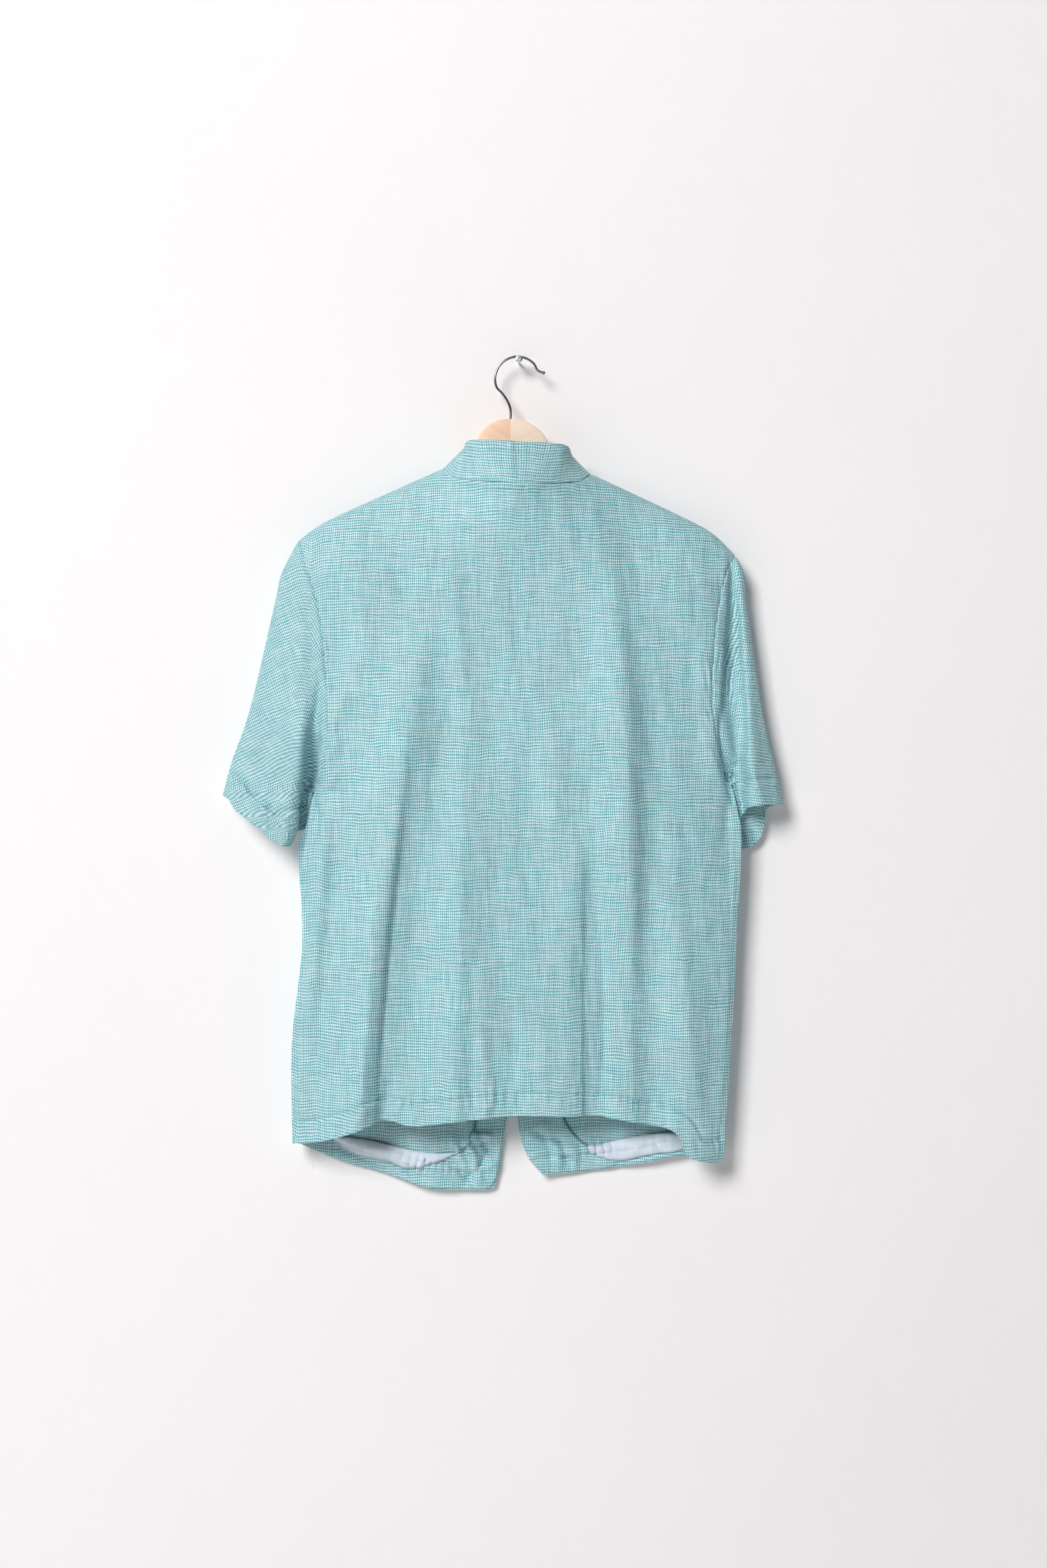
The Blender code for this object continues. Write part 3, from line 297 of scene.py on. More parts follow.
# Creases of the scene alone: soft ridges (+) and troughs (-) through three points. Columns: start
# x, z, middle x, z, end x, z, height, width on its left, width on its right.
BACK_CREASES = (
    (-114, -380, -142, -590, -184, -1000, 4, 26, 7),  # long left ridge
    (-150, -560, -164, -760, -176, -1000, 6, 14, 6),
    (-112, -440, -139, -680, -158, -1000, -6.4, 6, 11),
    (-92, -370, -98, -450, -108, -600, 3.4, 10, 16),
    (98, -180, 113, -420, 122, -720, 6, 24, 12),  # wide right ridge
    (138, -500, 142, -700, 146, -1000, -5.5, 15, 20),
    (80, -530, 83, -680, 78.5, -1000, -11.5, 7, 16),  # sharp right crease
    (64, -500, 66.5, -680, 64, -1000, 6.3, 16, 7),
    (108, -520, 112, -700, 112, -1000, -12, 28, 34),
    (231, -520, 227, -680, 219, -960, 4.5, 15, 9),  # beside the right edge
    (34, -370, 38, -490, 44, -600, 5, 16, 32),
    (-72, -700, -72, -800, -70, -900, 2.6, 10, 12),
    (-64, -380, -64, -640, -66, -1000, 4, 18, 11),
    (-42, -640, -38, -760, -36, -900, 2.2, 8, 8),
    (-74, -190, -66, -300, -62, -400, 1.8, 14, 8),
    (56, -120, 70, -190, 84, -290, 3, 40, 30),
    (-100, -300, -104, -370, -112, -450, 0.8, 10, 8),
    (-14, -280, -9, -480, -12, -700, 1, 16, 10),
    (30, -640, 26, -740, 30, -900, 1.4, 12, 8),
    (-8, -690, -4, -760, -8, -840, -1, 6, 8),
    (164, -520, 170, -640, 178, -780, -2.2, 12, 9),
    (204, -540, 204, -700, 202, -880, 2.6, 18, 16),
    (-204, -370, -214, -570, -238, -790, 5, 14, 9),
    (-180, -330, -196, -400, -202, -470, 2.6, 10, 7),
    (-176, -520, -190, -640, -206, -780, 1.6, 12, 8),
    (-180, -690, -196, -740, -216, -790, 1.7, 7, 5),
    (-56, -120, -64, -190, -70, -260, -2, 40, 30),  # under the collar
    (2, -118, 2, -180, 2, -300, -7, 55, 58),
    (-206, -850, -170, -822, -146, -790, 2.4, 7, 5),  # drags to the hem's corners
    (-150, -840, -140, -806, -136, -770, -3, 4, 6),
    (-118, -832, -108, -812, -106, -780, 1.3, 4, 5),
    (-40, -826, -30, -800, -28, -770, 1.6, 5, 4),
    (36, -820, 42, -804, 40, -780, 1.2, 4, 4),
    (140, -832, 146, -808, 144, -780, -1.3, 5, 4),
    (176, -866, 166, -834, 164, -790, 2.6, 4, 9),
    (196, -870, 190, -840, 192, -800, -1.8, 4, 6),
    (-190, -240, -196, -330, -190, -420, -1.2, 9, 8),  # inside the armholes
    (192, -250, 186, -340, 196, -440, -1.2, 9, 6),
    (-186, -440, -204, -462, -222, -480, 2, 5, 6),
    (-180, -400, -194, -424, -212, -440, 1.2, 5, 5),
    (198, -405, 213, -448, 229, -492, 3.6, 13, 4.5),
    (-232, -300, -246, -390, -262, -470, 1.8, 9, 6),  # left sleeve
    (-256, -380, -276, -440, -292, -490, -1.4, 6, 7),
    (-229, -350, -238, -450, -252, -570, 6, 14, 5),
    (-213, -340, -223, -435, -237, -560, -10.5, 5.5, 5),
    (-276, -470, -272, -500, -262, -530, 1.3, 5, 4),
    (-298, -440, -296, -470, -290, -500, 0.9, 5, 4),
    (-212, -300, -224, -340, -232, -390, -1, 5, 6),
    (252, -350, 262, -420, 272, -490, -1.2, 6, 5),  # right sleeve
    (231, -195, 233, -290, 222, -405, -10, 5.5, 5.5),
    (216, -380, 223, -430, 248, -515, -8.5, 5, 5),
    (248, -240, 270, -360, 294, -500, 3.4, 17, 10),
)
FRONT_CREASES = (
    (-60, -200, -66, -240, -58, -300, -0.8, 8, 6),
    (58, -200, 66, -250, 60, -310, 0.9, 6, 9),
    (-184, -470, -160, -500, -140, -560, -1.3, 6, 9),
    (190, -470, 164, -505, 148, -570, 1.2, 7, 9),
    (-120, -520, -128, -640, -120, -780, 1.2, 9, 6),
    (-40, -560, -46, -680, -40, -820, -1, 6, 8),
    (52, -540, 58, -660, 50, -800, 1, 7, 8),
    (124, -600, 128, -700, 120, -840, -1.3, 6, 9),
    (-232, -280, -250, -380, -270, -460, -0.9, 8, 6),
    (236, -290, 248, -380, 258, -460, 0.9, 6, 8),
    # Near the corners that show under the back's hem.
    (-66, -846, -50, -868, -44, -902, -6.4, 3, 5),
    (-44, -842, -38, -858, -24, -872, 5.8, 3.5, 4.5),
    (-90, -872, -70, -880, -48, -900, 5.1, 4, 4),
    (-30, -858, -44, -880, -62, -902, 4.8, 3.5, 5),
    (-58, -830, -48, -846, -28, -848, -5.4, 4, 4),
    (-84, -840, -70, -856, -60, -880, -4.2, 3.5, 4),
    (-150, -868, -120, -886, -96, -898, 3.2, 4, 4),
    (-200, -858, -170, -872, -140, -884, 2.6, 4, 4),
    (30, -846, 40, -860, 46, -886, -5.8, 3.5, 4.5),
    (10, -836, 26, -848, 52, -852, 5.1, 3.5, 3.5),
    (20, -866, 44, -868, 72, -880, 3.8, 3.5, 4),
    (54, -858, 60, -868, 62, -886, -3.8, 3.5, 4),
    (100, -880, 130, -870, 164, -862, 2.9, 3.5, 3.5),
)
CREASES = {BACK: BACK_CREASES, FRONT: FRONT_CREASES}
CREASE_LINE_STEP, CREASE_END_POWER = 8.0, 0.8
RELIEF_MARGIN = 7.0  # the creases fade out this near a folded edge
NECK_MARGIN = 10.0  # and this near the neck's seam
# Uneven rumpling. Columns: length of its waves across, down, height, seed.
RUMPLE = ((44.0, 120.0, 1.4, 3), (17.0, 60.0, 0.9, 11), (9.5, 26.0, 0.45, 29), (6.0, 9.0, 0.2, 47))
RUMPLE_LEAN, RUMPLE_SIDE_SEED = 0.18, 100
WAVE_LATTICE = 64

# Sewing
HEM_TURN = 23.0  # height of the body's hems
HEM_RAISE, HEM_RAISE_FADE = 1.0, 2.0  # the turned hem's extra thickness
HEM_GROOVE, HEM_GROOVE_REACH = 2.3, 2.4  # where it is sewn down
SEAM_DEPTH, NECK_SEAM_DEPTH, SEAM_REACH = 1.2, 0.8, 1.8
NECK_SEAM = 2  # its place in a body piece's list of seams
SEAM_SEED, HEM_SEED = 200, 300
PUCKER_STEP, PUCKER_HEIGHT, PUCKER_REACH = 9.0, 1.0, 9.0
PUCKER_SHIFT, PUCKER_SHIFT_WAVE = 2.2, 21.0
PUCKER_MEAN, PUCKER_UNEVEN, PUCKER_UNEVEN_WAVE = 0.65, 0.5, 33.0
STITCH_STEP, STITCH_LENGTH, STITCH_RADIUS = 2.9, 2.3, 0.24
STITCH_LIFT = (-0.12, 0.2, 0.2, -0.12)  # of a stitch's points, off the cloth
STITCH_TAPER = (0.7, 1.0, 1.0, 0.7)
SERGE_STEP, SERGE_WIDTH, SERGE_RADIUS = 1.25, 3.2, 0.22
SERGE_START, SERGE_END = 1.0, 1.5  # bare lengths of the edge
SERGE_LIFT, SERGE_MIDDLE_LIFT, SERGE_WRAP, SERGE_SLANT = 0.3, 0.25, 0.4, 0.7
SERGE_TAPER = (0.9, 1.0, 1.0, 0.8)
SERGE_TOP = -770.0  # the facings' overlocking shows below here
SERGE_COLUMN = 4  # of the facing's grid, which shows the way inwards from its edge
# Loose thread ends: x, z and how far behind the cloth's face
LOOSE_THREADS = (
    ((-223.4, -855.5, 0.6), (-224.6, -863, 0.8), (-221.6, -870, 1), (-221.4, -878.6, 1)),
    ((-219, -856.5, 0.6), (-217.5, -864, 0.8), (-213, -868, 1.2), (-206.8, -864.4, 1.4)),
)
LOOSE_THREAD_RADIUS = 0.16
THREAD_SIDES = 4
TUBE_REFERENCE = (0.13, 0.97, 0.21)  # no thread runs this way
# Floors that keep a near point's weight and a steep normal's slope from growing without end
NEAR_FLOOR, LEAST_STEEP = 0.05, 0.3

# The raster on which the flat cloth is measured: start, end, step
MAP_X, MAP_Z, MAP_MIDDLE_Z = (-330.0, 300.0, 2.0), (-915.0, -95.0, 3.0), -480.0

# Hanger, hook and nail
HANGER_THICKNESS, HANGER_ROUND = 11.0, 3.0
HANGER_CLEAR = 2.1  # below the outside of the shoulder, so 0.7 below the cloth
HANGER_NECK_DIP = 3.0  # further down beside the crown
HANGER_DIP_X, HANGER_DIP_FADE = 110.0, 25.0  # up to this far from the middle
ARM_END_HEIGHT, ARM_SPANS = 16.0, 6
BAR_END_ROUND, BAR_END_DRAW, BAR_END_SLIM = 6.0, 0.32, 1.6
WIRE_RADIUS = 1.3
HOOK_CLEAR = 0.15  # from the origin up to the wire, and down to the nail's shank
HOOK_ARC_RADIUS, HOOK_ARC_X = 24.4, -1.5
HOOK_ARC_START, HOOK_ARC_END = 206.0, 35.0
HOOK_ARC_POINTS, HOOK_SMOOTHING, HOOK_SIDES = 90, 6, 20  # smoothing in passes
# Columns: x, z.
HOOK_STEM = ((-9, -66.2), (-9, -56), (-12, -47.5), (-18, -38.5), (-23.4, -33.5))
HOOK_TAIL = ((19.2, -12.2), (21.8, -14.6), (25, -15.6))
BALL_RADIUS = 1.95
BALL_START = 0.3  # past the end of the wire
BALL_TURNS = (40, 176, 9)  # degrees round the ball: start, end, step
WALL_FACE_Y = 22.0  # the wall that the nail is in
NAIL_RADIUS, NAIL_HEAD_RADIUS = 1.4, 4.2
NAIL_HEAD_FRONT, NAIL_HEAD_BACK = -3.9, -2.1
NAIL_PROFILE = (
    (0.62 * NAIL_HEAD_RADIUS, NAIL_HEAD_FRONT), (0.93 * NAIL_HEAD_RADIUS, NAIL_HEAD_FRONT + 0.45),
    (NAIL_HEAD_RADIUS, NAIL_HEAD_FRONT + 1.1), (0.9 * NAIL_HEAD_RADIUS, NAIL_HEAD_BACK),
    (NAIL_RADIUS, NAIL_HEAD_BACK + 0.02), (NAIL_RADIUS, WALL_FACE_Y),
)
NAIL_SIDES, NAIL_START = 8, 0.3
NAIL_BEVEL, NAIL_BEVEL_LEAST = 0.12, 0.4  # on edges longer than this

# Buttons on the left front, hidden behind the back
BUTTON_X, BUTTON_TOP_Z, BUTTON_STEP, BUTTON_COUNT = -3.0, -222.0, 94.0, 6
BUTTON_THICKNESS, BUTTON_STAND_OFF, BUTTON_SIDES = 2.4, 0.6, 32
# Columns: radius, height from the middle of its thickness.
BUTTON_PROFILE = (
    (0, -1.2), (4.7, -1.2), (5.35, -0.95), (5.6, -0.4), (5.6, 0.5), (5.3, 1), (4.7, 1.2),
    (4.1, 1.1), (3.6, 0.65), (3, 0.45), (0, 0.45),
)
BUTTON_DISH, BUTTON_HOLE_X, BUTTON_THREAD_RADIUS = 0.7, 0.9, 0.35
BUTTONHOLE = (-8.5, 8.6, 0.55)  # start, end, step of its stitches in z
BUTTONHOLE_RADIUS = 0.26
BUTTONHOLE_STITCH = ((0.25, 0.1), (0.8, 0.35), (1.35, -0.05))  # x, lift

# The check's repeat across and down, the threads' own, and the colours
CHECK_ACROSS, CHECK_DOWN = 2.2, 3.05
WARP_PITCH, WEFT_PITCH = 0.55, 0.6
SLUB_SHARE, STREAK_SHARE = 0.52, 0.3
TEAL, CHECK_MIDDLE, WHITE = (0.0, 0.282, 0.34), (0.285, 0.548, 0.596), (0.75, 0.88, 0.92)
PALE_BLUE = (0.72, 0.815, 0.92)
THREAD_TEAL, THREAD_PALE = (0.115, 0.385, 0.42), (0.56, 0.74, 0.79)
BUTTON_DARK, BUTTON_LIGHT = (0.10, 0.27, 0.29), (0.24, 0.46, 0.48)
# Metals: colour, roughness, scale of the brushing. The chrome's colour is kept dark as a painted
# reflection of a dark room, since the world here is near white.
CHROME_PAINTED_REFLECTION = ((0.30, 0.30, 0.31), 0.14, (300.0, 300.0, 40.0))
STEEL = ((0.80, 0.82, 0.86), 0.25, (600.0, 600.0, 600.0))

# Stage, light and camera, in metres
WALL_Y, FLOOR_Z, ROOM_HALF, ROOM_TOP = WALL_FACE_Y * MM, -1.7, 6.0, 5.0
WALL_DARK, WALL_LIGHT = (0.90, 0.885, 0.90), (0.925, 0.912, 0.925)
FLOOR_DARK, FLOOR_LIGHT = (0.80, 0.79, 0.79), (0.84, 0.83, 0.83)
WORLD_COLOUR = (0.97, 0.975, 1.0, 1.0)
WORLD_SPAN = (0.02, 0.3, 0.06, 0.0)  # y of the way looked, from and to, and the strength there
LAMP_AIM = (0.0, 0.0, -0.45)
# Lamps: name, place, size, power, colour
LAMPS = (
    ("key", (-2.6, -5.1, 2.5), 2.4, 367.0, (1.0, 0.99, 0.975)),
    ("fill", (1.8, -2.6, -0.2), 1.6, 0.5, (0.98, 0.99, 1.0)),
    ("behind", (0.6, 2.4, 0.6), 1.5, 14.0, (1.0, 0.99, 0.98)),
)
CAMERA_PLACE = (0.005, -2.365, -0.4626)


def smooth_line(points, step=4.0):
    """Closely spaced points on a smooth line through the given ones."""
    p = np.array(points, float)
    p = np.vstack([2 * p[0] - p[1], p, 2 * p[-1] - p[-2]])
    line = []
    for a, b, c, d in zip(p, p[1:], p[2:], p[3:]):
        count = max(2, int(np.linalg.norm(c - b) / step))
        t = np.linspace(0, 1, count, endpoint=False)[:, None]
        line.append(
            b + (c - a) * t / 2 + (2 * a - 5 * b + 4 * c - d) * t**2 / 2
            + (3 * b - a - 3 * c + d) * t**3 / 2
        )
    return np.vstack(line + [p[-2][None]])


def reach_of(line):
    """The run along a line at each of its points."""
    return np.append(0.0, np.cumsum(np.linalg.norm(np.diff(line, axis=0), axis=1)))


def at_run(places, run, source):
    """Rows of source, given at these runs, at other places on the same line."""
    return np.column_stack([np.interp(places, run, column) for column in source.T])


def along(line, shares):
    """The points at these shares of a line's length in x and z."""
    run = reach_of(line[:, :2])
    return at_run(np.asarray(shares) * run[-1], run, line)


def length_of(line):
    return np.linalg.norm(np.diff(line[:, :2], axis=0), axis=1).sum()


def at_x(line, xs):
    """The points at these x on a line that runs one way in x."""
    order = np.argsort(line[:, 0])
    return np.column_stack([xs] + [np.interp(xs, line[order, 0], c[order]) for c in line.T[1:]])


def moved_aside(line, distance):
    """A line of x, z points moved to its left by a distance."""
    run = np.gradient(line, axis=0)
    side = np.column_stack([-run[:, 1], run[:, 0]])
    return line + distance * side / np.linalg.norm(side, axis=1)[:, None]


def rounded(share):
    """0 to 1 round a quarter circle."""
    return np.sqrt(np.clip(1 - (1 - np.clip(share, 0, 1)) ** 2, 0, 1))


def eased(share):
    share = np.clip(share, 0, 1)
    return share * share * (3 - 2 * share)


def bell(off, width):
    return np.exp(-((off / width) ** 2))


def close_rows(shares, start, count):
    """These shares with the ones after a start changed to this many even ones."""
    return np.concatenate([shares[shares < start - 0.5 / count], np.linspace(start, 1, count)])


def finer(places, count):
    """Each step of a list of places divided into this many equal ones."""
    fine = np.arange(0, len(places) - 1 + 0.5 / count, 1 / count)
    return np.interp(fine, np.arange(len(places)), places)


# ---- The surfaces that the cloth lies on

TOP_EDGES = [smooth_line(half.shoulder + half.sleeve_outer[1:]) for half in HALVES]
BODY_EDGES = TOP_EDGES + [smooth_line(half.side) for half in HALVES]
SLEEVE_EDGES = TOP_EDGES + [smooth_line(half.sleeve_inner) for half in HALVES]


def nearest_edge(x, z, edges):
    """Distance to the nearest of these folded edges, and that edge's y and radii there."""
    best = np.full(x.shape, 1e9)
    found = np.zeros(x.shape + (3,))
    for line in edges:
        for a, b in zip(line, line[1:]):
            run = b[:2] - a[:2]
            t = ((x - a[0]) * run[0] + (z - a[1]) * run[1]) / (run @ run)
            t = np.clip(t, 0, 1)
            far = np.hypot(x - a[0] - t * run[0], z - a[1] - t * run[1])
            nearer = far < best
            best = np.where(nearer, far, best)
            here = a[2:] + t[..., None] * (b[2:] - a[2:])
            found = np.where(nearer[..., None], here, found)
    return best, found[..., 0], found[..., 1], found[..., 2]


def fold_height(folds, x, z):
    """What the folds add to how far the cloth stands out."""
    total = np.zeros(x.shape)
    for x1, z1, x2, z2, x3, z3, height, left, right, rise in folds:
        line = smooth_line(((z1, x1), (z2, x2), (z3, x3)))
        off = x - np.interp(-z, -line[:, 0], line[:, 1])
        below = eased((z1 - z) / rise) * (1 - eased((z3 - FOLD_END - z) / FOLD_END_FADE))
        total += height * below * bell(off, np.where(off < 0, left, right))
    return total


def stands_out(x, z, side, edges=BODY_EDGES):
    """How far the cloth's outside is from y = 0."""
    far, edge_y, *radii = nearest_edge(x, z, edges)
    table = np.array(STAND_OUT)
    full = np.interp(-z, -table[:, 0], table[:, side])
    out = EDGE_STAND_OUT + (full - EDGE_STAND_OUT) * (1 - np.exp(-far / EASE))
    if side == BACK:
        drop = (NECK_BULGE_TOP - z) / NECK_BULGE_Z
        out += NECK_BULGE * np.exp(-((x / NECK_BULGE_X) ** 2) - drop**2)
    out += np.clip(far / FOLD_MARGIN, 0, 1) * fold_height(FOLDS[side], x, z)
    edge = (-edge_y if side == BACK else edge_y) + GAP / 2 + LIP
    rise = np.maximum(out, edge + EDGE_LEAST) - edge
    return edge + rise * rounded(far / radii[side - BACK])


def edge_depth(x, z, edges=BODY_EDGES):
    return nearest_edge(x, z, edges)[1]


def on_cloth(xz, side, edges=BODY_EDGES):
    """Grid of x, z to grid of x, y, z on the back or the fronts."""
    x, z = xz[..., 0], xz[..., 1]
    y = stands_out(x, z, side, edges)
    return np.stack([x, -y if side == BACK else y, z], axis=-1)


def patch(top, bottom, left, right, us, vs):
    """Grid of points between four sides, given at the same shares us and vs."""
    u, v = us[None, :, None], vs[:, None, None]
    sides = (1 - v) * top[None] + v * bottom[None] + (1 - u) * left[:, None] + u * right[:, None]
    ends = (1 - u) * ((1 - v) * top[0] + v * bottom[0]) + u * ((1 - v) * top[-1] + v * bottom[-1])
    return sides - ends


# ---- Grid lines that neighbours share

def armhole_shares(line):
    long = length_of(line)
    top = np.array(ARMHOLE_TOP_ROWS) / long
    end = 1 - np.array(ARMHOLE_END_ROWS) / long
    middle = np.linspace(top[-1], end[0], ARMHOLE_SPANS + 1)[1:-1]
    return finer(np.concatenate([top, middle, end]), DOWN)


def side_shares(line):
    top = np.array(SIDE_TOP_ROWS) / length_of(line)
    facing = (np.array(FACING_ROWS) - UNDERARM_SHARE) / (1 - UNDERARM_SHARE)
    middle = np.linspace(top[-1], facing[0], SIDE_SPANS + 1)[1:-1]
    shares = finer(np.concatenate([[0.0], top, middle, facing]), DOWN)[1:]
    return close_rows(shares, HEM_ROWS_START, HEM_ROWS)


ARMHOLE_SHARES = armhole_shares(smooth_line(LEFT.armhole_back))
SIDE_SHARES = side_shares(smooth_line(LEFT.side))
# Blend shares of a body piece's rows, from the shoulder to the hem
ROW_SHARES = np.concatenate([
    ARMHOLE_SHARES * UNDERARM_SHARE, UNDERARM_SHARE + SIDE_SHARES * (1 - UNDERARM_SHARE),
])
BACK_NECK_COLUMNS = np.linspace(
    LEFT.shoulder[0][0], RIGHT.shoulder[0][0], ACROSS * NECK_SPANS + 1)[1:-1]


def front_neck_columns(neck_line):
    start, end = neck_line[0, 0], neck_line[-1, 0]
    return start + finer(NECK_FRONT_COLUMNS, ACROSS) * (end - start)


def body_side(armhole, side, inward):
    """A body piece's edge down its armhole and its side, in x and z."""
    seam = smooth_line(armhole)
    upper = along(moved_aside(seam, inward * GAP / 2), armhole_shares(seam))
    fold = smooth_line(side)
    lower = along(fold, side_shares(fold))[:, :2]
    upper[-1] = fold[0, :2]
    upper[0] = seam[0] + (inward * GAP, 0)
    return np.vstack([upper, lower])


def shoulder_line(half, tip):
    """A shoulder's grid line in x and z, from a piece's edge to the neck."""
    seam = smooth_line(half.shoulder)
    near = tip + half.inward * np.array(EDGE_COLUMNS)
    rest = np.linspace(near[-1], seam[0, 0], SHOULDER_SPANS + 1)[1:]
    return at_x(seam, finer(np.concatenate([near, rest]), ACROSS))[:, :2]


def with_margin(points, folded, side):
    """Add a row beside the first one. Where that edge is folded it lies straight behind it, so
    the piece meets its neighbour squarely, and elsewhere it is a third of the way to the next."""
    sign = -1 if side == BACK else 1
    first, second = points[0].copy(), points[0].copy()
    second[~folded] = (2 * points[0] + points[1])[~folded] / 3
    first[folded, 1] = (edge_depth(first[:, 0], first[:, 2]) + sign * GAP / 2)[folded]
    return np.concatenate([first[None], second[None], points[1:]])


def with_margins(points, side, shoulder):
    """Add the margins under the shoulder seams, whose columns are a mask, and beside the side
    seams. A front has one side seam, at its first column, and the back has two."""
    points = with_margin(points, shoulder, side)
    below = np.arange(len(points)) >= len(ARMHOLE_SHARES)
    points = with_margin(points.transpose(1, 0, 2), below, side).transpose(1, 0, 2)
    if side == BACK:
        mirrored = points[:, ::-1].transpose(1, 0, 2)
        points = with_margin(mirrored, below, side).transpose(1, 0, 2)[:, ::-1]
    return points


# ---- Grids of the pieces

def back_grid():
    left, right = (body_side(half.armhole_back, half.side, half.inward) for half in HALVES)
    shoulders = [shoulder_line(half, edge[0, 0]) for half, edge in ((LEFT, left), (RIGHT, right))]
    neck = at_x(smooth_line(NECK_BACK), BACK_NECK_COLUMNS) - (0, GAP / 2)
    top = np.vstack([shoulders[0], neck, shoulders[1][::-1]])
    left[0], right[0] = top[0], top[-1]
    us = (top[:, 0] - top[0, 0]) / (top[-1, 0] - top[0, 0])
    bottom = along(smooth_line(HEM_BACK), us)
    xz = patch(top, bottom, left, right, us, ROW_SHARES)
    on_shoulder = ~np.isin(top[:, 0], neck[:, 0])
    return with_margins(on_cloth(xz, BACK), BACK, on_shoulder)


def underlap(x):
    return UNDERLAP_DEPTH * eased(1 - (x - UNDERLAP_END) / UNDERLAP_FADE)


def front_grid(half):
    """A front's grid, from its side to its front edge. The right one goes under the left one."""
    outer = body_side(half.armhole_front, half.side, half.inward)
    neck_line = smooth_line(half.neck)
    shoulder = shoulder_line(half, outer[0, 0])
    neck_top = at_x(neck_line, front_neck_columns(neck_line))
    top = np.vstack([shoulder, neck_top[1:] - (0, GAP / 2)])
    outer[0] = top[0]
    us = (top[:, 0] - top[0, 0]) / (top[-1, 0] - top[0, 0])
    inner = along(smooth_line(half.front_edge), ROW_SHARES) - (0, GAP / 2)
    xz = patch(top, along(smooth_line(half.hem), us), outer, inner, us, ROW_SHARES)
    points = on_cloth(xz, FRONT)
    if half is RIGHT:
        points[..., 1] -= underlap(xz[..., 0])
    return with_margins(points, FRONT, np.arange(len(us)) < len(shoulder))


def sleeve_grid(half):
    """A sleeve's rows, from its top point to the hem. Each runs from the armhole or the underarm
    fold across the back half, over the outer fold and back across the front half."""
    shares = armhole_shares(smooth_line(half.armhole_back))
    inner_rows = close_rows(
        finer((0.0,) + SLEEVE_INNER_ROWS, DOWN)[1:], SLEEVE_ROWS_START, SLEEVE_ROWS)
    rows = np.concatenate([
        shares * SLEEVE_ARMHOLE_SHARE,
        SLEEVE_ARMHOLE_SHARE + inner_rows * (1 - SLEEVE_ARMHOLE_SHARE),
    ])
    columns = finer(SLEEVE_COLUMNS, ACROSS)
    outer_side = along(smooth_line(half.sleeve_outer), rows)[:, :2]
    underarm = along(smooth_line(half.sleeve_inner), inner_rows)[:, :2]
    grids = []
    for seam, hem, side in sleeve_sides(half):
        line = smooth_line(seam)
        armhole = along(moved_aside(line, -half.inward * GAP / 2), armhole_shares(line))
        armhole[0] = outer_side[0] = line[0] + (-half.inward * GAP, -GAP / 2)
        armhole[-1] = line[-1] + (-half.inward * GAP, -GAP)
        inner_side = np.vstack([armhole, underarm])
        top = np.repeat(armhole[:1], len(columns), axis=0)
        bottom = along(smooth_line(hem), 1 - columns)
        xz = patch(top, bottom, inner_side, outer_side, columns, rows)
        points = on_cloth(xz, side, SLEEVE_EDGES)
        folded = np.zeros(points.shape[:2], bool)
        folded[0], folded[:, -1], folded[len(armhole) - 1 :, 0] = True, True, True
        points[folded, 1] = edge_depth(points[folded, 0], points[folded, 2], SLEEVE_EDGES)
        grids.append(points)
    back, front = grids
    return np.concatenate([back, front[:, -2::-1]], axis=1)


def sleeve_sides(half):
    """The armhole and the hem on the back and on the front of a sleeve."""
    return (
        (half.armhole_back, half.sleeve_hem_back, BACK),
        (half.armhole_front, half.sleeve_hem_front, FRONT),
    )


def stand_base():
    """The neck seam, from the front middle round the left side, the back and the right side,
    and the angle that each point stands at."""
    seam, angles = [], []
    for half, start, end in ((LEFT, 0, -90), (RIGHT, 180, 270)):
        line = smooth_line(half.neck)
        part = on_cloth(at_x(line, front_neck_columns(line)[: ACROSS * CENTRE_COLUMN + 1]), FRONT)
        if half is RIGHT:
            part[:, 1] -= underlap(part[:, 0])
        part[0, 1] = edge_depth(part[:1, 0], part[:1, 2])[0]
        seam.append(part)
        angles.append(np.linspace(start, end, len(part)))
    back = on_cloth(at_x(smooth_line(NECK_BACK), BACK_NECK_COLUMNS), BACK)
    back_angles = np.linspace(0, 180, len(back) + 2)[1:-1]
    base = np.vstack([seam[0][::-1], back, seam[1]]) + (0, 0, GAP)
    return base, np.concatenate([angles[0][::-1], back_angles, angles[1]])


def stand_grid():
    base, angles = stand_base()
    ring = smooth_line(STAND_TOP)
    top = at_run(angles, ring[:, 0], ring[:, 1:])
    run = reach_of(base)
    from_end = np.minimum(run, run[-1] - run)
    tall = np.linalg.norm(top - base, axis=1)
    kept = 1 - STAND_END_ROUND * (1 - rounded(from_end / STAND_END_ROUND)) / tall
    shares = finer(STAND_ROWS, STAND_FINER)
    return np.array([base + share * kept[:, None] * (top - base) for share in shares])


# ---- Relief of the scene's cloth

def waves(x, z, across, down, seed):
    """Smooth uneven waves between -1 and 1 of about these lengths."""
    size = WAVE_LATTICE
    lattice = np.random.default_rng(seed).uniform(-1, 1, (size, size))
    u, v = x / across + size / 2, z / down + size
    i, j = np.floor(u).astype(int), np.floor(v).astype(int)
    s, t = eased(u - i), eased(v - j)
    i, j = i % size, j % size
    i2, j2 = (i + 1) % size, (j + 1) % size
    near = lattice[i, j] * (1 - s) + lattice[i2, j] * s
    far = lattice[i, j2] * (1 - s) + lattice[i2, j2] * s
    return near * (1 - t) + far * t


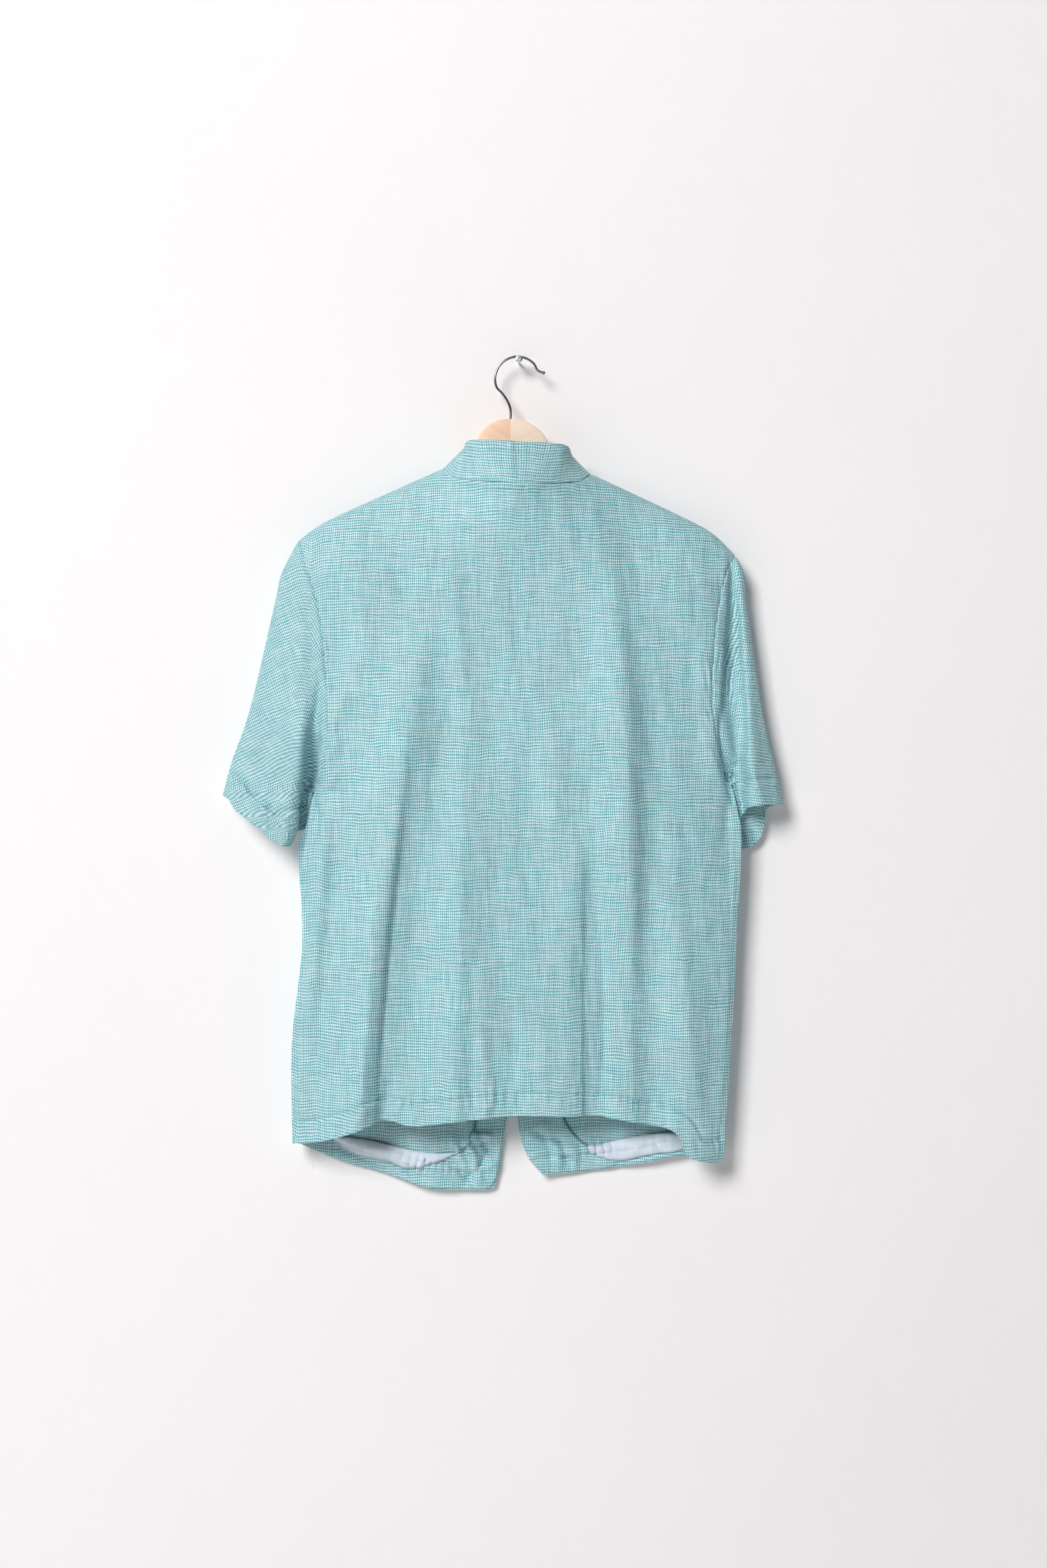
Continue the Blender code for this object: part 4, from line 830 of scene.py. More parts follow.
def beside(line, x, z):
    """Distance to a line, run along it, and the side in x that the point is on."""
    best = np.full(x.shape, 1e9)
    along_it, off = np.zeros(x.shape), np.zeros(x.shape)
    run = 0.0
    for a, b in zip(line[:, :2], line[1:, :2]):
        step = b - a
        long = np.hypot(*step)
        t = np.clip(((x - a[0]) * step[0] + (z - a[1]) * step[1]) / long**2, 0, 1)
        dx, dz = x - a[0] - t * step[0], z - a[1] - t * step[1]
        far = np.hypot(dx, dz)
        nearer = far < best
        best = np.where(nearer, far, best)
        along_it = np.where(nearer, run + t * long, along_it)
        off = np.where(nearer, dx, off)
        run += long
    return best, along_it, off


def creases(table, x, z):
    total = np.zeros(x.shape)
    for x1, z1, x2, z2, x3, z3, height, left, right in table:
        line = smooth_line(((x1, z1), (x2, z2), (x3, z3)), CREASE_LINE_STEP)
        far, run, off = beside(line, x, z)
        ends = np.sin(np.pi * np.clip(run / length_of(line), 0, 1)) ** CREASE_END_POWER
        total += height * ends * bell(far, np.where(off < 0, left, right))
    return total


def puckers(run, far, seed):
    """Short ripples across a row of sewing, uneven along it."""
    shift = PUCKER_SHIFT * waves(run, run * 0, PUCKER_SHIFT_WAVE, 1.0, seed)
    uneven = waves(run, run * 0, PUCKER_UNEVEN_WAVE, 1.0, seed + 1)
    ripple = np.sin(run / PUCKER_STEP * 2 * np.pi + shift) * (PUCKER_MEAN + PUCKER_UNEVEN * uneven)
    return PUCKER_HEIGHT * ripple * bell(far, PUCKER_REACH)


def relief(points, side, seams, hems, edges=BODY_EDGES):
    """How far the scene's cloth stands off its solid's surface: creases, rumpling, and what the
    sewing does. seams are lines, and hems are pairs of a line and the height of its turn."""
    x, z = points[..., 0], points[..., 2]
    fade = np.clip(nearest_edge(x, z, edges)[0] / RELIEF_MARGIN, 0, 1)
    total = creases(CREASES[side], x, z)
    for across, down, height, seed in RUMPLE:
        seed += RUMPLE_SIDE_SEED * side
        total += height * waves(x + RUMPLE_LEAN * z, z, across, down, seed)
    total *= fade
    for number, line in enumerate(seams):
        far, run, _ = beside(line, x, z)
        total += fade * puckers(run, far, SEAM_SEED + number)
        depth = SEAM_DEPTH
        if number == NECK_SEAM:  # here the stand holds the cloth
            total *= eased(far / NECK_MARGIN)
            depth = NECK_SEAM_DEPTH
        total -= depth * bell(far, SEAM_REACH)
    for number, (line, turn) in enumerate(hems):
        far, run, _ = beside(line, x, z)
        at_stitch = np.abs(far - turn)
        total += fade * HEM_RAISE * eased((turn - far) / HEM_RAISE_FADE)
        total += fade * puckers(run, at_stitch, HEM_SEED + number)
        total -= fade * HEM_GROOVE * bell(at_stitch, HEM_GROOVE_REACH)
    return total


def normals_of(points, facing):
    """Unit normals of a grid, turned so that the middle of its first half faces -Y (-1) or +Y."""
    normal = np.cross(np.gradient(points, axis=1), np.gradient(points, axis=0))
    normal /= np.maximum(np.linalg.norm(normal, axis=-1), 1e-9)[..., None]
    middle = normal[len(points) // 3 : len(points) // 2, points.shape[1] // 4]
    return normal * facing * np.sign(middle[:, 1].mean())


class FlatCloth:
    """Finds where points lie on the flat cloth, in millimetres, by distances along the surface."""

    def __init__(self, side, edges):
        self.xs, self.zs = np.arange(*MAP_X), np.arange(*MAP_Z)
        x, z = np.meshgrid(self.xs, self.zs)
        y = stands_out(x, z, side, edges)
        across = np.cumsum(np.hypot(np.diff(y, axis=1), MAP_X[2]), axis=1)
        along_z = np.cumsum(np.hypot(np.diff(y, axis=0), MAP_Z[2]), axis=0)
        u, v = np.pad(across, ((0, 0), (1, 0))), np.pad(along_z, ((1, 0), (0, 0)))
        u -= u[:, [np.searchsorted(self.xs, 0.0)]]
        v -= v[[np.searchsorted(self.zs, MAP_MIDDLE_Z)]] - MAP_MIDDLE_Z
        self.spots = np.stack([u, v], axis=-1)

    def at(self, points):
        i = np.clip((points[..., 0] - self.xs[0]) / MAP_X[2], 0, len(self.xs) - 1.001)
        j = np.clip((points[..., 2] - self.zs[0]) / MAP_Z[2], 0, len(self.zs) - 1.001)
        i0, j0 = i.astype(int), j.astype(int)
        s, t = (i - i0)[..., None], (j - j0)[..., None]
        low = self.spots[j0, i0] * (1 - s) + self.spots[j0, i0 + 1] * s
        high = self.spots[j0 + 1, i0] * (1 - s) + self.spots[j0 + 1, i0 + 1] * s
        return low * (1 - t) + high * t


def turned(spots, degrees):
    c, s = math.cos(math.radians(degrees)), math.sin(math.radians(degrees))
    u, v = spots[..., 0], spots[..., 1]
    return np.stack([c * u - s * v, s * u + c * v], axis=-1)


# ---- Meshes

def add_object(name, data):
    made = bpy.data.objects.new(name, data)
    bpy.context.scene.collection.objects.link(made)
    return made


def new_mesh(name, verts, faces, sharp=None):
    """A mesh from points in millimetres. Edges sharper than an angle in degrees stay sharp."""
    data = bpy.data.meshes.new(name)
    data.from_pydata((np.array(verts) * MM).tolist(), [], faces)
    data.shade_smooth()
    if sharp:
        data.set_sharp_from_angle(angle=math.radians(sharp))
    return data


def add_piece(name, data, material, *nodes, slot=None):
    piece = add_object(name, data)
    data.materials.append(material)
    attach(piece, "root")
    if nodes:
        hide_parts(*nodes)
    return piece


def add_cloth(name, points, weave, material, flip, thickness, slot="check_cloth"):
    """A sheet through a grid of points, with the map of its weave. Points that meet are one."""
    rows, columns = points.shape[:2]
    flat = points.reshape(-1, 3)
    keys = np.round(flat / MERGE).astype(np.int64)
    _, first, same = np.unique(keys, axis=0, return_index=True, return_inverse=True)

    def quads_of(numbers):
        n = numbers.reshape(rows, columns)
        quads = np.stack([n[:-1, :-1], n[1:, :-1], n[1:, 1:], n[:-1, 1:]], axis=-1)
        return quads.reshape(-1, 4)[:, :: -1 if flip else 1].tolist()

    faces, spots = [], []
    for quad, corner in zip(quads_of(same), quads_of(np.arange(rows * columns))):
        slim = [i for i in range(4) if quad[i] != quad[i - 1]]
        if len(slim) > 2:
            faces.append([quad[i] for i in slim])
            spots.extend(corner[i] for i in slim)
    data = new_mesh("shirt_" + name, flat[first], faces)
    layer = data.uv_layers.new(name="weave")
    layer.data.foreach_set("uv", (weave.reshape(-1, 2)[spots] * MM).ravel())
    piece = add_piece("shirt_" + name, data, material, name, slot=slot)
    wall = piece.modifiers.new("wall", "SOLIDIFY")
    wall.thickness, wall.offset, wall.use_even_offset = thickness * MM, -1.0, False
    return piece


def tube_data(paths, radii, sides):
    """Points and faces of many thin closed tubes. radii gives each point's, for each path."""
    verts, faces = [], []
    turns = np.linspace(0, 2 * np.pi, sides, endpoint=False)
    for path, radius in zip(paths, radii):
        path = np.asarray(path, float)
        run = np.gradient(path, axis=0)
        run /= np.linalg.norm(run, axis=1)[:, None]
        side = np.cross(run, TUBE_REFERENCE)
        side /= np.linalg.norm(side, axis=1)[:, None]
        up = np.cross(side, run)
        start = len(verts)
        for p, a, b, r in zip(path, side, up, radius):
            verts += [p + r * (math.cos(turn) * a + math.sin(turn) * b) for turn in turns]
        for low in range(start, start + (len(path) - 1) * sides, sides):
            for i in range(sides):
                j = (i + 1) % sides
                faces.append((low + i, low + j, low + sides + j, low + sides + i))
        faces.append(tuple(start + i for i in reversed(range(sides))))
        faces.append(tuple(start + (len(path) - 1) * sides + i for i in range(sides)))
    return verts, faces


def add_threads(name, paths, radii, material):
    return add_piece(name, new_mesh(name, *tube_data(paths, radii, THREAD_SIDES)), material)


def lathe(profile, x, z, sides, start=0.0):
    """Rings of points round a line along y. profile gives each ring's radius and y."""
    turns = [2 * math.pi * (i + start) / sides for i in range(sides)]
    return [[(x + r * math.cos(t), y, z + r * math.sin(t)) for t in turns] for r, y in profile]


def ring_mesh(rings):
    """A closed mesh, still open to change, through rings of points in millimetres."""
    mesh = bmesh.new()
    loops = [[mesh.verts.new([c * MM for c in point]) for point in ring] for ring in rings]
    for one, two in zip(loops, loops[1:]):
        for i in range(len(one)):
            j = (i + 1) % len(one)
            mesh.faces.new((one[i], one[j], two[j], two[i]))
    mesh.faces.new(loops[0])
    mesh.faces.new(loops[-1])
    bmesh.ops.recalc_face_normals(mesh, faces=mesh.faces)
    return mesh


def finished_mesh(name, mesh):
    data = bpy.data.meshes.new(name)
    mesh.to_mesh(data)
    mesh.free()
    return data


class Surface:
    """Finds the place and the normal on a grid of points at a given x, z."""

    def __init__(self, points, normal):
        self.points, self.normal = points.reshape(-1, 3), normal.reshape(-1, 3)
        self.tree = KDTree(len(self.points))
        for index, (x, _, z) in enumerate(self.points):
            self.tree.insert((x, 0.0, z), index)
        self.tree.balance()

    def at(self, xz, off=0.0):
        """Places and normals at a grid of x, z, the places moved along the normals."""
        places, ways = [], []
        for x, z in xz.reshape(-1, 2):
            found = self.tree.find_n((x, 0.0, z), 3)
            weights = [1 / (far + NEAR_FLOOR) ** 2 for _, _, far in found]
            y, way = 0.0, np.zeros(3)
            for (_, index, _), weight in zip(found, weights):
                p, n = self.points[index], self.normal[index]
                steep = n[1] if abs(n[1]) > LEAST_STEEP else math.copysign(LEAST_STEEP, n[1])
                y += weight * (p[1] - (n[0] * (x - p[0]) + n[2] * (z - p[2])) / steep)
                way += weight * n
            way /= np.linalg.norm(way)
            places.append(np.array((x, y / sum(weights), z)) + off * way)
            ways.append(way)
        shape = xz.shape[:-1] + (3,)
        return np.array(places).reshape(shape), np.array(ways).reshape(shape)


# ---- Sewing

def stitch_row(places, ways):
    """Paths of a row of lockstitches along a line on a surface with these normals."""
    run = reach_of(places)
    paths = []
    for start in np.arange(0.5, run[-1] - STITCH_STEP, STITCH_STEP):
        spots = np.linspace(start, start + STITCH_LENGTH, 4)
        lift = np.array(STITCH_LIFT)[:, None] * at_run(spots, run, ways)
        paths.append(at_run(spots, run, places) + lift)
    return paths


def hem_line(hem, turn, span):
    """The line that a hem is sewn along, between two places in x."""
    line = moved_aside(smooth_line(hem, 2.0), turn)
    return line[(line[:, 0] > span[0]) & (line[:, 0] < span[1])]


def serge(name, line, inner, ways, material):
    """Overlock stitches over a free edge: slanting threads that wrap it."""
    run = reach_of(line)
    inward = inner - line
    inward /= np.linalg.norm(inward, axis=1)[:, None]
    spots = np.arange(SERGE_START, run[-1] - SERGE_END, SERGE_STEP)
    way, inside = at_run(spots, run, ways), at_run(spots, run, inward)
    one = at_run(spots, run, line) - SERGE_LIFT * way
    two = at_run(spots + SERGE_SLANT, run, line) + SERGE_WIDTH * inside - SERGE_LIFT * way
    middle = (one + two) / 2 - SERGE_MIDDLE_LIFT * way
    under = one - SERGE_WRAP * inside + 0.5 * SERGE_LIFT * way
    paths = np.stack([under, one, middle, two], axis=1)
    radii = [SERGE_RADIUS * np.array(SERGE_TAPER)] * len(paths)
    return add_threads(name, paths, radii, material)


def serge_facing(half, points, surface, material):
    """The facing's overlocked inner edge, from above the back's hem round to its strip."""
    rows = (points[:, 0, 2] < SERGE_TOP) & (np.abs(points[:, 0, 0]) < half.serge_reach)
    line = points[rows, 0]
    ways = surface.at(line[:, [0, 2]])[1]
    serge("serging_facing_" + half.name, line, points[rows, SERGE_COLUMN], ways, material)


def loose_threads(surface, material):
    """Two thread ends that hang at the back hem's left corner."""
    paths = []
    for line in LOOSE_THREADS:
        line = smooth_line(line, 1.0)
        depth = surface.at(line[:1, :2])[0][0, 1]
        paths.append(np.column_stack([line[:, 0], depth + line[:, 2], line[:, 1]]))
    radii = [np.full(len(path), LOOSE_THREAD_RADIUS) for path in paths]
    add_threads("loose_threads", paths, radii, material)


# ---- Cloth pieces

def dressed(points, side, seams, hem):
    """A body piece's grid with its relief, its normals, and the map of its weave."""
    facing = -1 if side == BACK else 1
    lift = relief(points, side, [smooth_line(seam) for seam in seams], [(hem, HEM_TURN)])
    points = points + lift[..., None] * normals_of(points, facing)
    return points, normals_of(points, facing), FlatCloth(side, BODY_EDGES).at(points)


def make_back(cloth):
    seams = [LEFT.armhole_back, RIGHT.armhole_back, NECK_BACK]
    points, normal, weave = dressed(back_grid(), BACK, seams, smooth_line(HEM_BACK))
    piece = add_cloth("back", points, weave, cloth, False, CLOTH)
    return piece, Surface(points[1:, 1:-1], normal[1:, 1:-1])


def make_front(half, cloth):
    seams = [LEFT.armhole_front, RIGHT.armhole_front, half.neck]
    points, normal, weave = dressed(front_grid(half), FRONT, seams, smooth_line(half.hem))
    piece = add_cloth("front_" + half.name, points, weave, cloth, half is LEFT, CLOTH)
    return piece, Surface(points[1:, 1:], normal[1:, 1:])


def make_sleeve(half, cloth):
    points = sleeve_grid(half)
    middle = points.shape[1] // 2
    normal = normals_of(points, -1)
    moved = points.copy()
    columns = {BACK: slice(0, middle + 1), FRONT: slice(middle + 1, None)}
    for seam, hem, side in sleeve_sides(half):
        part = points[:, columns[side]]
        hems = [(smooth_line(hem), half.sleeve_turn)]
        lift = relief(part, side, [smooth_line(seam)], hems, SLEEVE_EDGES)
        moved[:, columns[side]] = part + lift[..., None] * normal[:, columns[side]]
    normal = normals_of(moved, -1)
    back_map = FlatCloth(BACK, SLEEVE_EDGES).at(points[:, : middle + 1])
    front_map = FlatCloth(FRONT, SLEEVE_EDGES).at(points[:, middle:])
    # The front half's check carries on from the back half's over the outer fold.
    carried = back_map[:, -1:] + (front_map - front_map[:, :1]) * (-1, 1)
    weave = turned(np.concatenate([back_map, carried[:, 1:]], axis=1), half.sleeve_grain)
    piece = add_cloth("sleeve_" + half.name, moved, weave, cloth, half is LEFT, CLOTH)
    return piece, Surface(moved[1:, 1:middle], normal[1:, 1:middle])


def make_stand(cloth):
    """The collar stand, softly rippled, and the row of stitches along its upper edge."""
    points = stand_grid()
    normal = normals_of(points, 1)
    rise = np.linalg.norm(points - points[0], axis=-1)
    run = reach_of(points[0])[None] + 0 * rise
    long = run[0, -1]
    (small, *small_waves), (large, *large_waves) = STAND_RIPPLES
    ripple = small * waves(run, rise, *small_waves)
    ripple += large * waves(run, rise, *large_waves) * np.sin(np.pi * np.clip(run / long, 0, 1))
    dent = run - long / 2 + STAND_DENT_OFF
    ripple += STAND_DENT * bell(dent, np.where(dent < 0, *STAND_DENT_WIDTHS))
    share = finer(STAND_ROWS, STAND_FINER)[:, None]
    ripple -= STAND_GROOVE * bell(share - STAND_STITCH, STAND_GROOVE_REACH)
    points = points + (ripple * np.sin(np.pi * np.clip(share, 0, 0.5)))[..., None] * normal
    weave = np.stack([run, rise], axis=-1)
    piece = add_cloth("collar", points, weave, cloth, True, STAND_CLOTH)
    row = round(STAND_STITCH * (len(points) - 1))
    return piece, stitch_row(points[row] + STAND_STITCH_LIFT * normal[row], normal[row])


def across(lines, count):
    """Grid of x, z between the two lines in a table's first four columns."""
    shares = np.linspace(0, 1, count)[None, :, None]
    return lines[:, None, :2] * (1 - shares) + lines[:, None, 2:4] * shares


def make_facing(half, cloth, surface):
    xz = across(smooth_line(half.facing, FACING_LINE_STEP), FACING_ACROSS)
    points, _ = surface.at(xz, -(WALL + FACING_GAP))
    name = "facing_" + half.name
    piece = add_cloth(name, points, points[..., [0, 2]], cloth, half is RIGHT, FACING_CLOTH)
    return piece, points


def make_strip(half, pale, thread, surface):
    lines = smooth_line(half.strip, FACING_LINE_STEP)
    shares = np.linspace(0, 1, STRIP_ACROSS)
    xz = across(lines, STRIP_ACROSS)
    base, ways = surface.at(xz, -(WALL + FACING_GAP + STRIP_GAP))
    arch = np.sin(np.pi * (STRIP_ARCH_START + STRIP_ARCH * shares))[None]
    off = lines[:, 4][:, None] * arch + STRIP_LIFT
    height, *ripple_waves = STRIP_RIPPLE
    ripple = height * waves(xz[..., 0], xz[..., 1], *ripple_waves) * shares[None]
    points = base - (off + ripple)[..., None] * ways
    name = "facing_strip_" + half.name
    piece = add_cloth(name, points, points[..., [0, 2]], pale, True, STRIP_CLOTH, "facing_strip")
    serge("serging_strip_" + half.name, points[:, -1], points[:, -3], ways[:, -1], thread)
    return piece


# ---- Node materials

class Nodes:
    """Short names for making a material's nodes."""

    def __init__(self, name):
        self.material = bpy.data.materials.new(name)
        self.material.use_nodes = True
        self.tree = self.material.node_tree
        self.shader = self.tree.nodes["Principled BSDF"]

    def put(self, socket, value):
        if isinstance(value, bpy.types.NodeSocket):
            self.tree.links.new(value, socket)
        else:
            socket.default_value = value

    def node(self, kind, inputs=(), **settings):
        made = self.tree.nodes.new(kind)
        for key, value in settings.items():
            setattr(made, key, value)
        for key, value in dict(inputs).items():
            self.put(made.inputs[key], value)
        return made

    def math(self, operation, *values):
        return self.node("ShaderNodeMath", enumerate(values), operation=operation).outputs[0]

    def scaled(self, vector, scale, turn=0.0):
        inputs = {"Vector": vector, "Scale": scale, "Rotation": (0.0, turn, 0.0)}
        return self.node("ShaderNodeMapping", inputs).outputs[0]

    def noise(self, vector, scale, detail=2.0, rough=0.5):
        inputs = {"Vector": vector, "Scale": scale, "Detail": detail, "Roughness": rough}
        return self.node("ShaderNodeTexNoise", inputs).outputs["Fac"]

    def crossed(self, vector, one, two, detail):
        """Streaks that run both ways, added up."""
        streaks = [self.noise(self.scaled(vector, scale), 1.0, detail) for scale in (one, two)]
        return self.math("ADD", *streaks)

    def mix(self, share, one, two):
        inputs = {"Factor": share, 6: one, 7: two}
        return self.node("ShaderNodeMix", inputs, data_type="RGBA").outputs[2]

    def ramp(self, share, *stops):
        made = self.node("ShaderNodeValToRGB", {"Fac": share})
        ramp = made.color_ramp
        while len(ramp.elements) < len(stops):
            ramp.elements.new(0.5)
        for element, (place, colour) in zip(ramp.elements, stops):
            element.position = place
            element.color = (*colour, 1.0)
        return made.outputs["Color"]

    def span(self, value, low, high, to_low=0.0, to_high=1.0):
        inputs = {"Value": value, "From Min": low, "From Max": high}
        inputs.update({"To Min": to_low, "To Max": to_high})
        return self.node("ShaderNodeMapRange", inputs).outputs[0]

    def bump(self, height, strength, distance, normal=None):
        inputs = {"Height": height, "Strength": strength, "Distance": distance}
        if normal is not None:
            inputs["Normal"] = normal
        return self.node("ShaderNodeBump", inputs).outputs[0]

    def place(self):
        return self.node("ShaderNodeTexCoord").outputs["Object"]

    def weave(self):
        return self.node("ShaderNodeUVMap", uv_map="weave").outputs["UV"]

    def finish(self, colour, roughness, normal=None, **fixed):
        values = {"Base Color": colour, "Roughness": roughness, **fixed}
        if normal is not None:
            values["Normal"] = normal
        for key, value in values.items():
            self.put(self.shader.inputs[key.replace("_", " ")], value)
        return self.material


def shaded(colour, share):
    return tuple(share * c for c in colour)


def check_material():
    """Plain weave of teal and white threads in a small check, a little slubby."""
    n = Nodes("check_cloth")
    weave, place = n.weave(), n.place()
    wobble = n.math(
        "ADD", n.math("MULTIPLY", n.noise(place, 170.0), 2.2),
        n.math("MULTIPLY", n.noise(place, 28.0), 16.0),
    )
    parts = n.node("ShaderNodeSeparateXYZ", {"Vector": weave})

    def sine(axis, pitch, shift=None):
        run = n.math("MULTIPLY", parts.outputs[axis], 2 * math.pi / (pitch * MM))
        if shift is not None:
            run = n.math("ADD", n.math("ADD", run, wobble), shift)
        return n.math("SINE", run)

    threads = [
        n.span(sine(axis, pitch, shift), -0.5, 0.5, 0.06, 0.94)
        for axis, pitch, shift in (("X", CHECK_ACROSS, 0.0), ("Y", CHECK_DOWN, 0.3))
    ]
    slub = n.crossed(weave, (900.0, 38.0, 1.0), (42.0, 800.0, 1.0), 3.0)
    slub = n.math("SUBTRACT", slub, 1.0)
    streaks = n.crossed(weave, (330.0, 22.0, 1.0), (26.0, 300.0, 1.0), 2.0)
    streaks = n.math("SUBTRACT", streaks, 1.0)
    both = n.math("MULTIPLY", n.math("ADD", *threads), 0.5)
    both = n.math("ADD", both, n.math("MULTIPLY", slub, SLUB_SHARE))
    both = n.math("ADD", both, n.math("MULTIPLY", streaks, STREAK_SHARE))
    colour = n.ramp(both, (0.0, WHITE), (0.5, CHECK_MIDDLE), (1.0, TEAL))
    shade = n.span(n.noise(place, 9.0, 3.0), 0.3, 0.7, 0.965, 1.03)
    scale = {0: colour, "Scale": shade}
    colour = n.node("ShaderNodeVectorMath", scale, operation="SCALE").outputs[0]
    thread_wave = n.math("MULTIPLY", sine("X", WARP_PITCH), sine("Y", WEFT_PITCH))
    crumple = n.noise(n.scaled(place, (105.0, 105.0, 30.0)), 1.0, 3.0, 0.6)
    normal = n.bump(crumple, 0.7, 0.0017)
    normal = n.bump(n.noise(place, 320.0), 0.6, 0.0006, normal)
    normal = n.bump(slub, 0.35, 0.0002, normal)
    normal = n.bump(thread_wave, 0.25, 0.00008, normal)
    return n.finish(
        colour, n.span(both, 0.0, 1.0, 0.6, 0.68), normal, Sheen_Weight=0.1, Sheen_Roughness=0.5,
        Specular_IOR_Level=0.9,
    )


def pale_material():
    n = Nodes("facing_interlining")
    both = n.crossed(n.weave(), (900.0, 60.0, 1.0), (60.0, 900.0, 1.0), 3.0)
    both = n.math("MULTIPLY", both, 0.5)
    colour = n.ramp(both, (0.3, shaded(PALE_BLUE, 0.80)), (0.65, PALE_BLUE))
    normal = n.bump(both, 0.5, 0.0003)
    normal = n.bump(n.noise(n.place(), 130.0, 3.0), 0.5, 0.0008, normal)
    return n.finish(colour, 0.88, normal, Specular_IOR_Level=0.25)


def thread_material(name, colour):
    n = Nodes(name)
    twist = n.noise(n.place(), 1500.0, 1.0)
    shade = n.ramp(twist, (0.35, shaded(colour, 0.75)), (0.65, colour))
    return n.finish(shade, 0.6, n.bump(twist, 0.4, 0.0001))


def wood_material(half):
    """Pale maple with fine slanting grain and short flecks."""
    n = Nodes("maple_" + half.name)
    light, dark = half.wood_light, half.wood_dark
    place = n.scaled(n.place(), (1.0, 1.0, 1.0), math.radians(half.wood_lean))
    broad = n.noise(n.scaled(place, (14.0, 60.0, 150.0)), 1.0, 4.0, 0.55)
    fine = n.noise(n.scaled(place, (60.0, 300.0, 1400.0)), 1.0, 3.0, 0.6)
    fleck = n.span(n.noise(n.scaled(place, (320.0, 500.0, 2300.0)), 1.0, 1.0), 0.66, 0.74)
    grain = n.math("ADD", n.math("MULTIPLY", broad, 0.65), n.math("MULTIPLY", fine, 0.35))
    lightest = tuple(min(1, c) for c in shaded(light, 1.06))
    colour = n.ramp(grain, (0.34, dark), (0.52, light), (0.72, lightest))
    colour = n.mix(n.math("MULTIPLY", fleck, 0.35), colour, (*shaded(dark, 0.62), 1.0))
    return n.finish(
        colour, n.span(fine, 0.3, 0.7, 0.38, 0.55), n.bump(fine, 0.25, 0.00015), Coat_Weight=0.15,
        Coat_Roughness=0.35,
    )


def metal_material(name, colour, roughness, brushed):
    n = Nodes(name)
    marks = n.noise(n.scaled(n.place(), brushed), 1.0)
    shade = n.ramp(marks, (0.3, shaded(colour, 0.8)), (0.7, colour))
    rough = n.span(marks, 0.3, 0.7, roughness, roughness + 0.12)
    return n.finish(shade, rough, n.bump(marks, 0.12, 0.00008), Metallic=1.0)


def button_material():
    """Dyed shell-like plastic, cloudy inside."""
    n = Nodes("button_teal")
    cloud = n.noise(n.place(), 420.0, 3.0, 0.6)
    colour = n.ramp(cloud, (0.3, BUTTON_DARK), (0.7, BUTTON_LIGHT))
    return n.finish(colour, 0.28, n.bump(cloud, 0.1, 0.0001), Coat_Weight=0.3)


# ---- Hanger, hook, nail and buttons

def hanger_stations(half):
    x1, _, z1 = half.crown[-1]
    xs = np.linspace(x1, half.arm_end, ARM_SPANS + 1)[1:]
    tops = at_x(smooth_line(half.shoulder), xs)[:, 1] - HANGER_CLEAR
    tops -= HANGER_NECK_DIP * np.clip((HANGER_DIP_X - np.abs(xs)) / HANGER_DIP_FADE, 0, 1)
    bottoms = np.linspace(z1, tops[-1] - ARM_END_HEIGHT, ARM_SPANS + 1)[1:]
    return smooth_line(list(half.crown) + list(zip(xs, tops, bottoms)), 3.0)


def make_bar(half):
    """A half of the hanger: sections with rounded corners, and a rounded end."""
    table = hanger_stations(half)
    if table[0, 0] < table[-1, 0]:
        table = np.unique(np.round(table, 4), axis=0)
    turns = np.radians(np.linspace(0, 90, 6))
    cut = HANGER_ROUND
    rings = []
    for x, top, bottom in table:
        narrowed = 1 - rounded(abs(table[-1, 0] - x) / BAR_END_ROUND)
        draw = narrowed * BAR_END_DRAW * (top - bottom)
        slim = HANGER_THICKNESS / 2 - BAR_END_SLIM * narrowed
        ring = []
        for side, rise, order in ((1, 1, 1), (-1, 1, -1), (-1, -1, 1), (1, -1, -1)):
            edge = top - draw - cut if rise > 0 else bottom + draw + cut
            for turn in turns[::order]:
                y, z = slim - cut + cut * math.cos(turn), cut * math.sin(turn)
                ring.append((x, side * y, edge + rise * z))
        rings.append(ring)
    name = f"hanger_{half.name}_bar"
    data = finished_mesh(name, ring_mesh(rings))
    data.shade_smooth()
    material = wood_material(half)
    piece = add_piece(name, data, material, "hanger_" + half.name, slot="wood_" + half.name)
    data.set_sharp_from_angle(angle=math.radians(50))
    return piece


def make_hook(material):
    arc_z = -HOOK_ARC_RADIUS + WIRE_RADIUS + HOOK_CLEAR
    stem = smooth_line(HOOK_STEM, 1.2)
    angles = np.radians(np.linspace(HOOK_ARC_START, HOOK_ARC_END, HOOK_ARC_POINTS))
    arc = np.column_stack([
        HOOK_ARC_X + HOOK_ARC_RADIUS * np.cos(angles), arc_z + HOOK_ARC_RADIUS * np.sin(angles),
    ])
    tail = smooth_line((arc[-1],) + HOOK_TAIL, 0.8)[1:]
    line = np.vstack([stem, arc[2:-2], tail])
    for _ in range(HOOK_SMOOTHING):
        line[1:-1] = (line[:-2] + 2 * line[1:-1] + line[2:]) / 4
    run = (line[-1] - line[-2]) / np.linalg.norm(line[-1] - line[-2])
    path = [(x, 0.0, z) for x, z in line]
    radius = [WIRE_RADIUS] * len(path)
    for turn in np.radians(range(*BALL_TURNS)):
        reach = BALL_RADIUS * (math.cos(math.radians(BALL_TURNS[0])) - math.cos(turn))
        x, z = line[-1] + run * (reach + BALL_START)
        path.append((x, 0.0, z))
        radius.append(BALL_RADIUS * math.sin(turn))
    data = new_mesh("hook_wire", *tube_data([path], [radius], HOOK_SIDES))
    return add_piece("hook_wire", data, material, "hook", slot="hook_chrome")


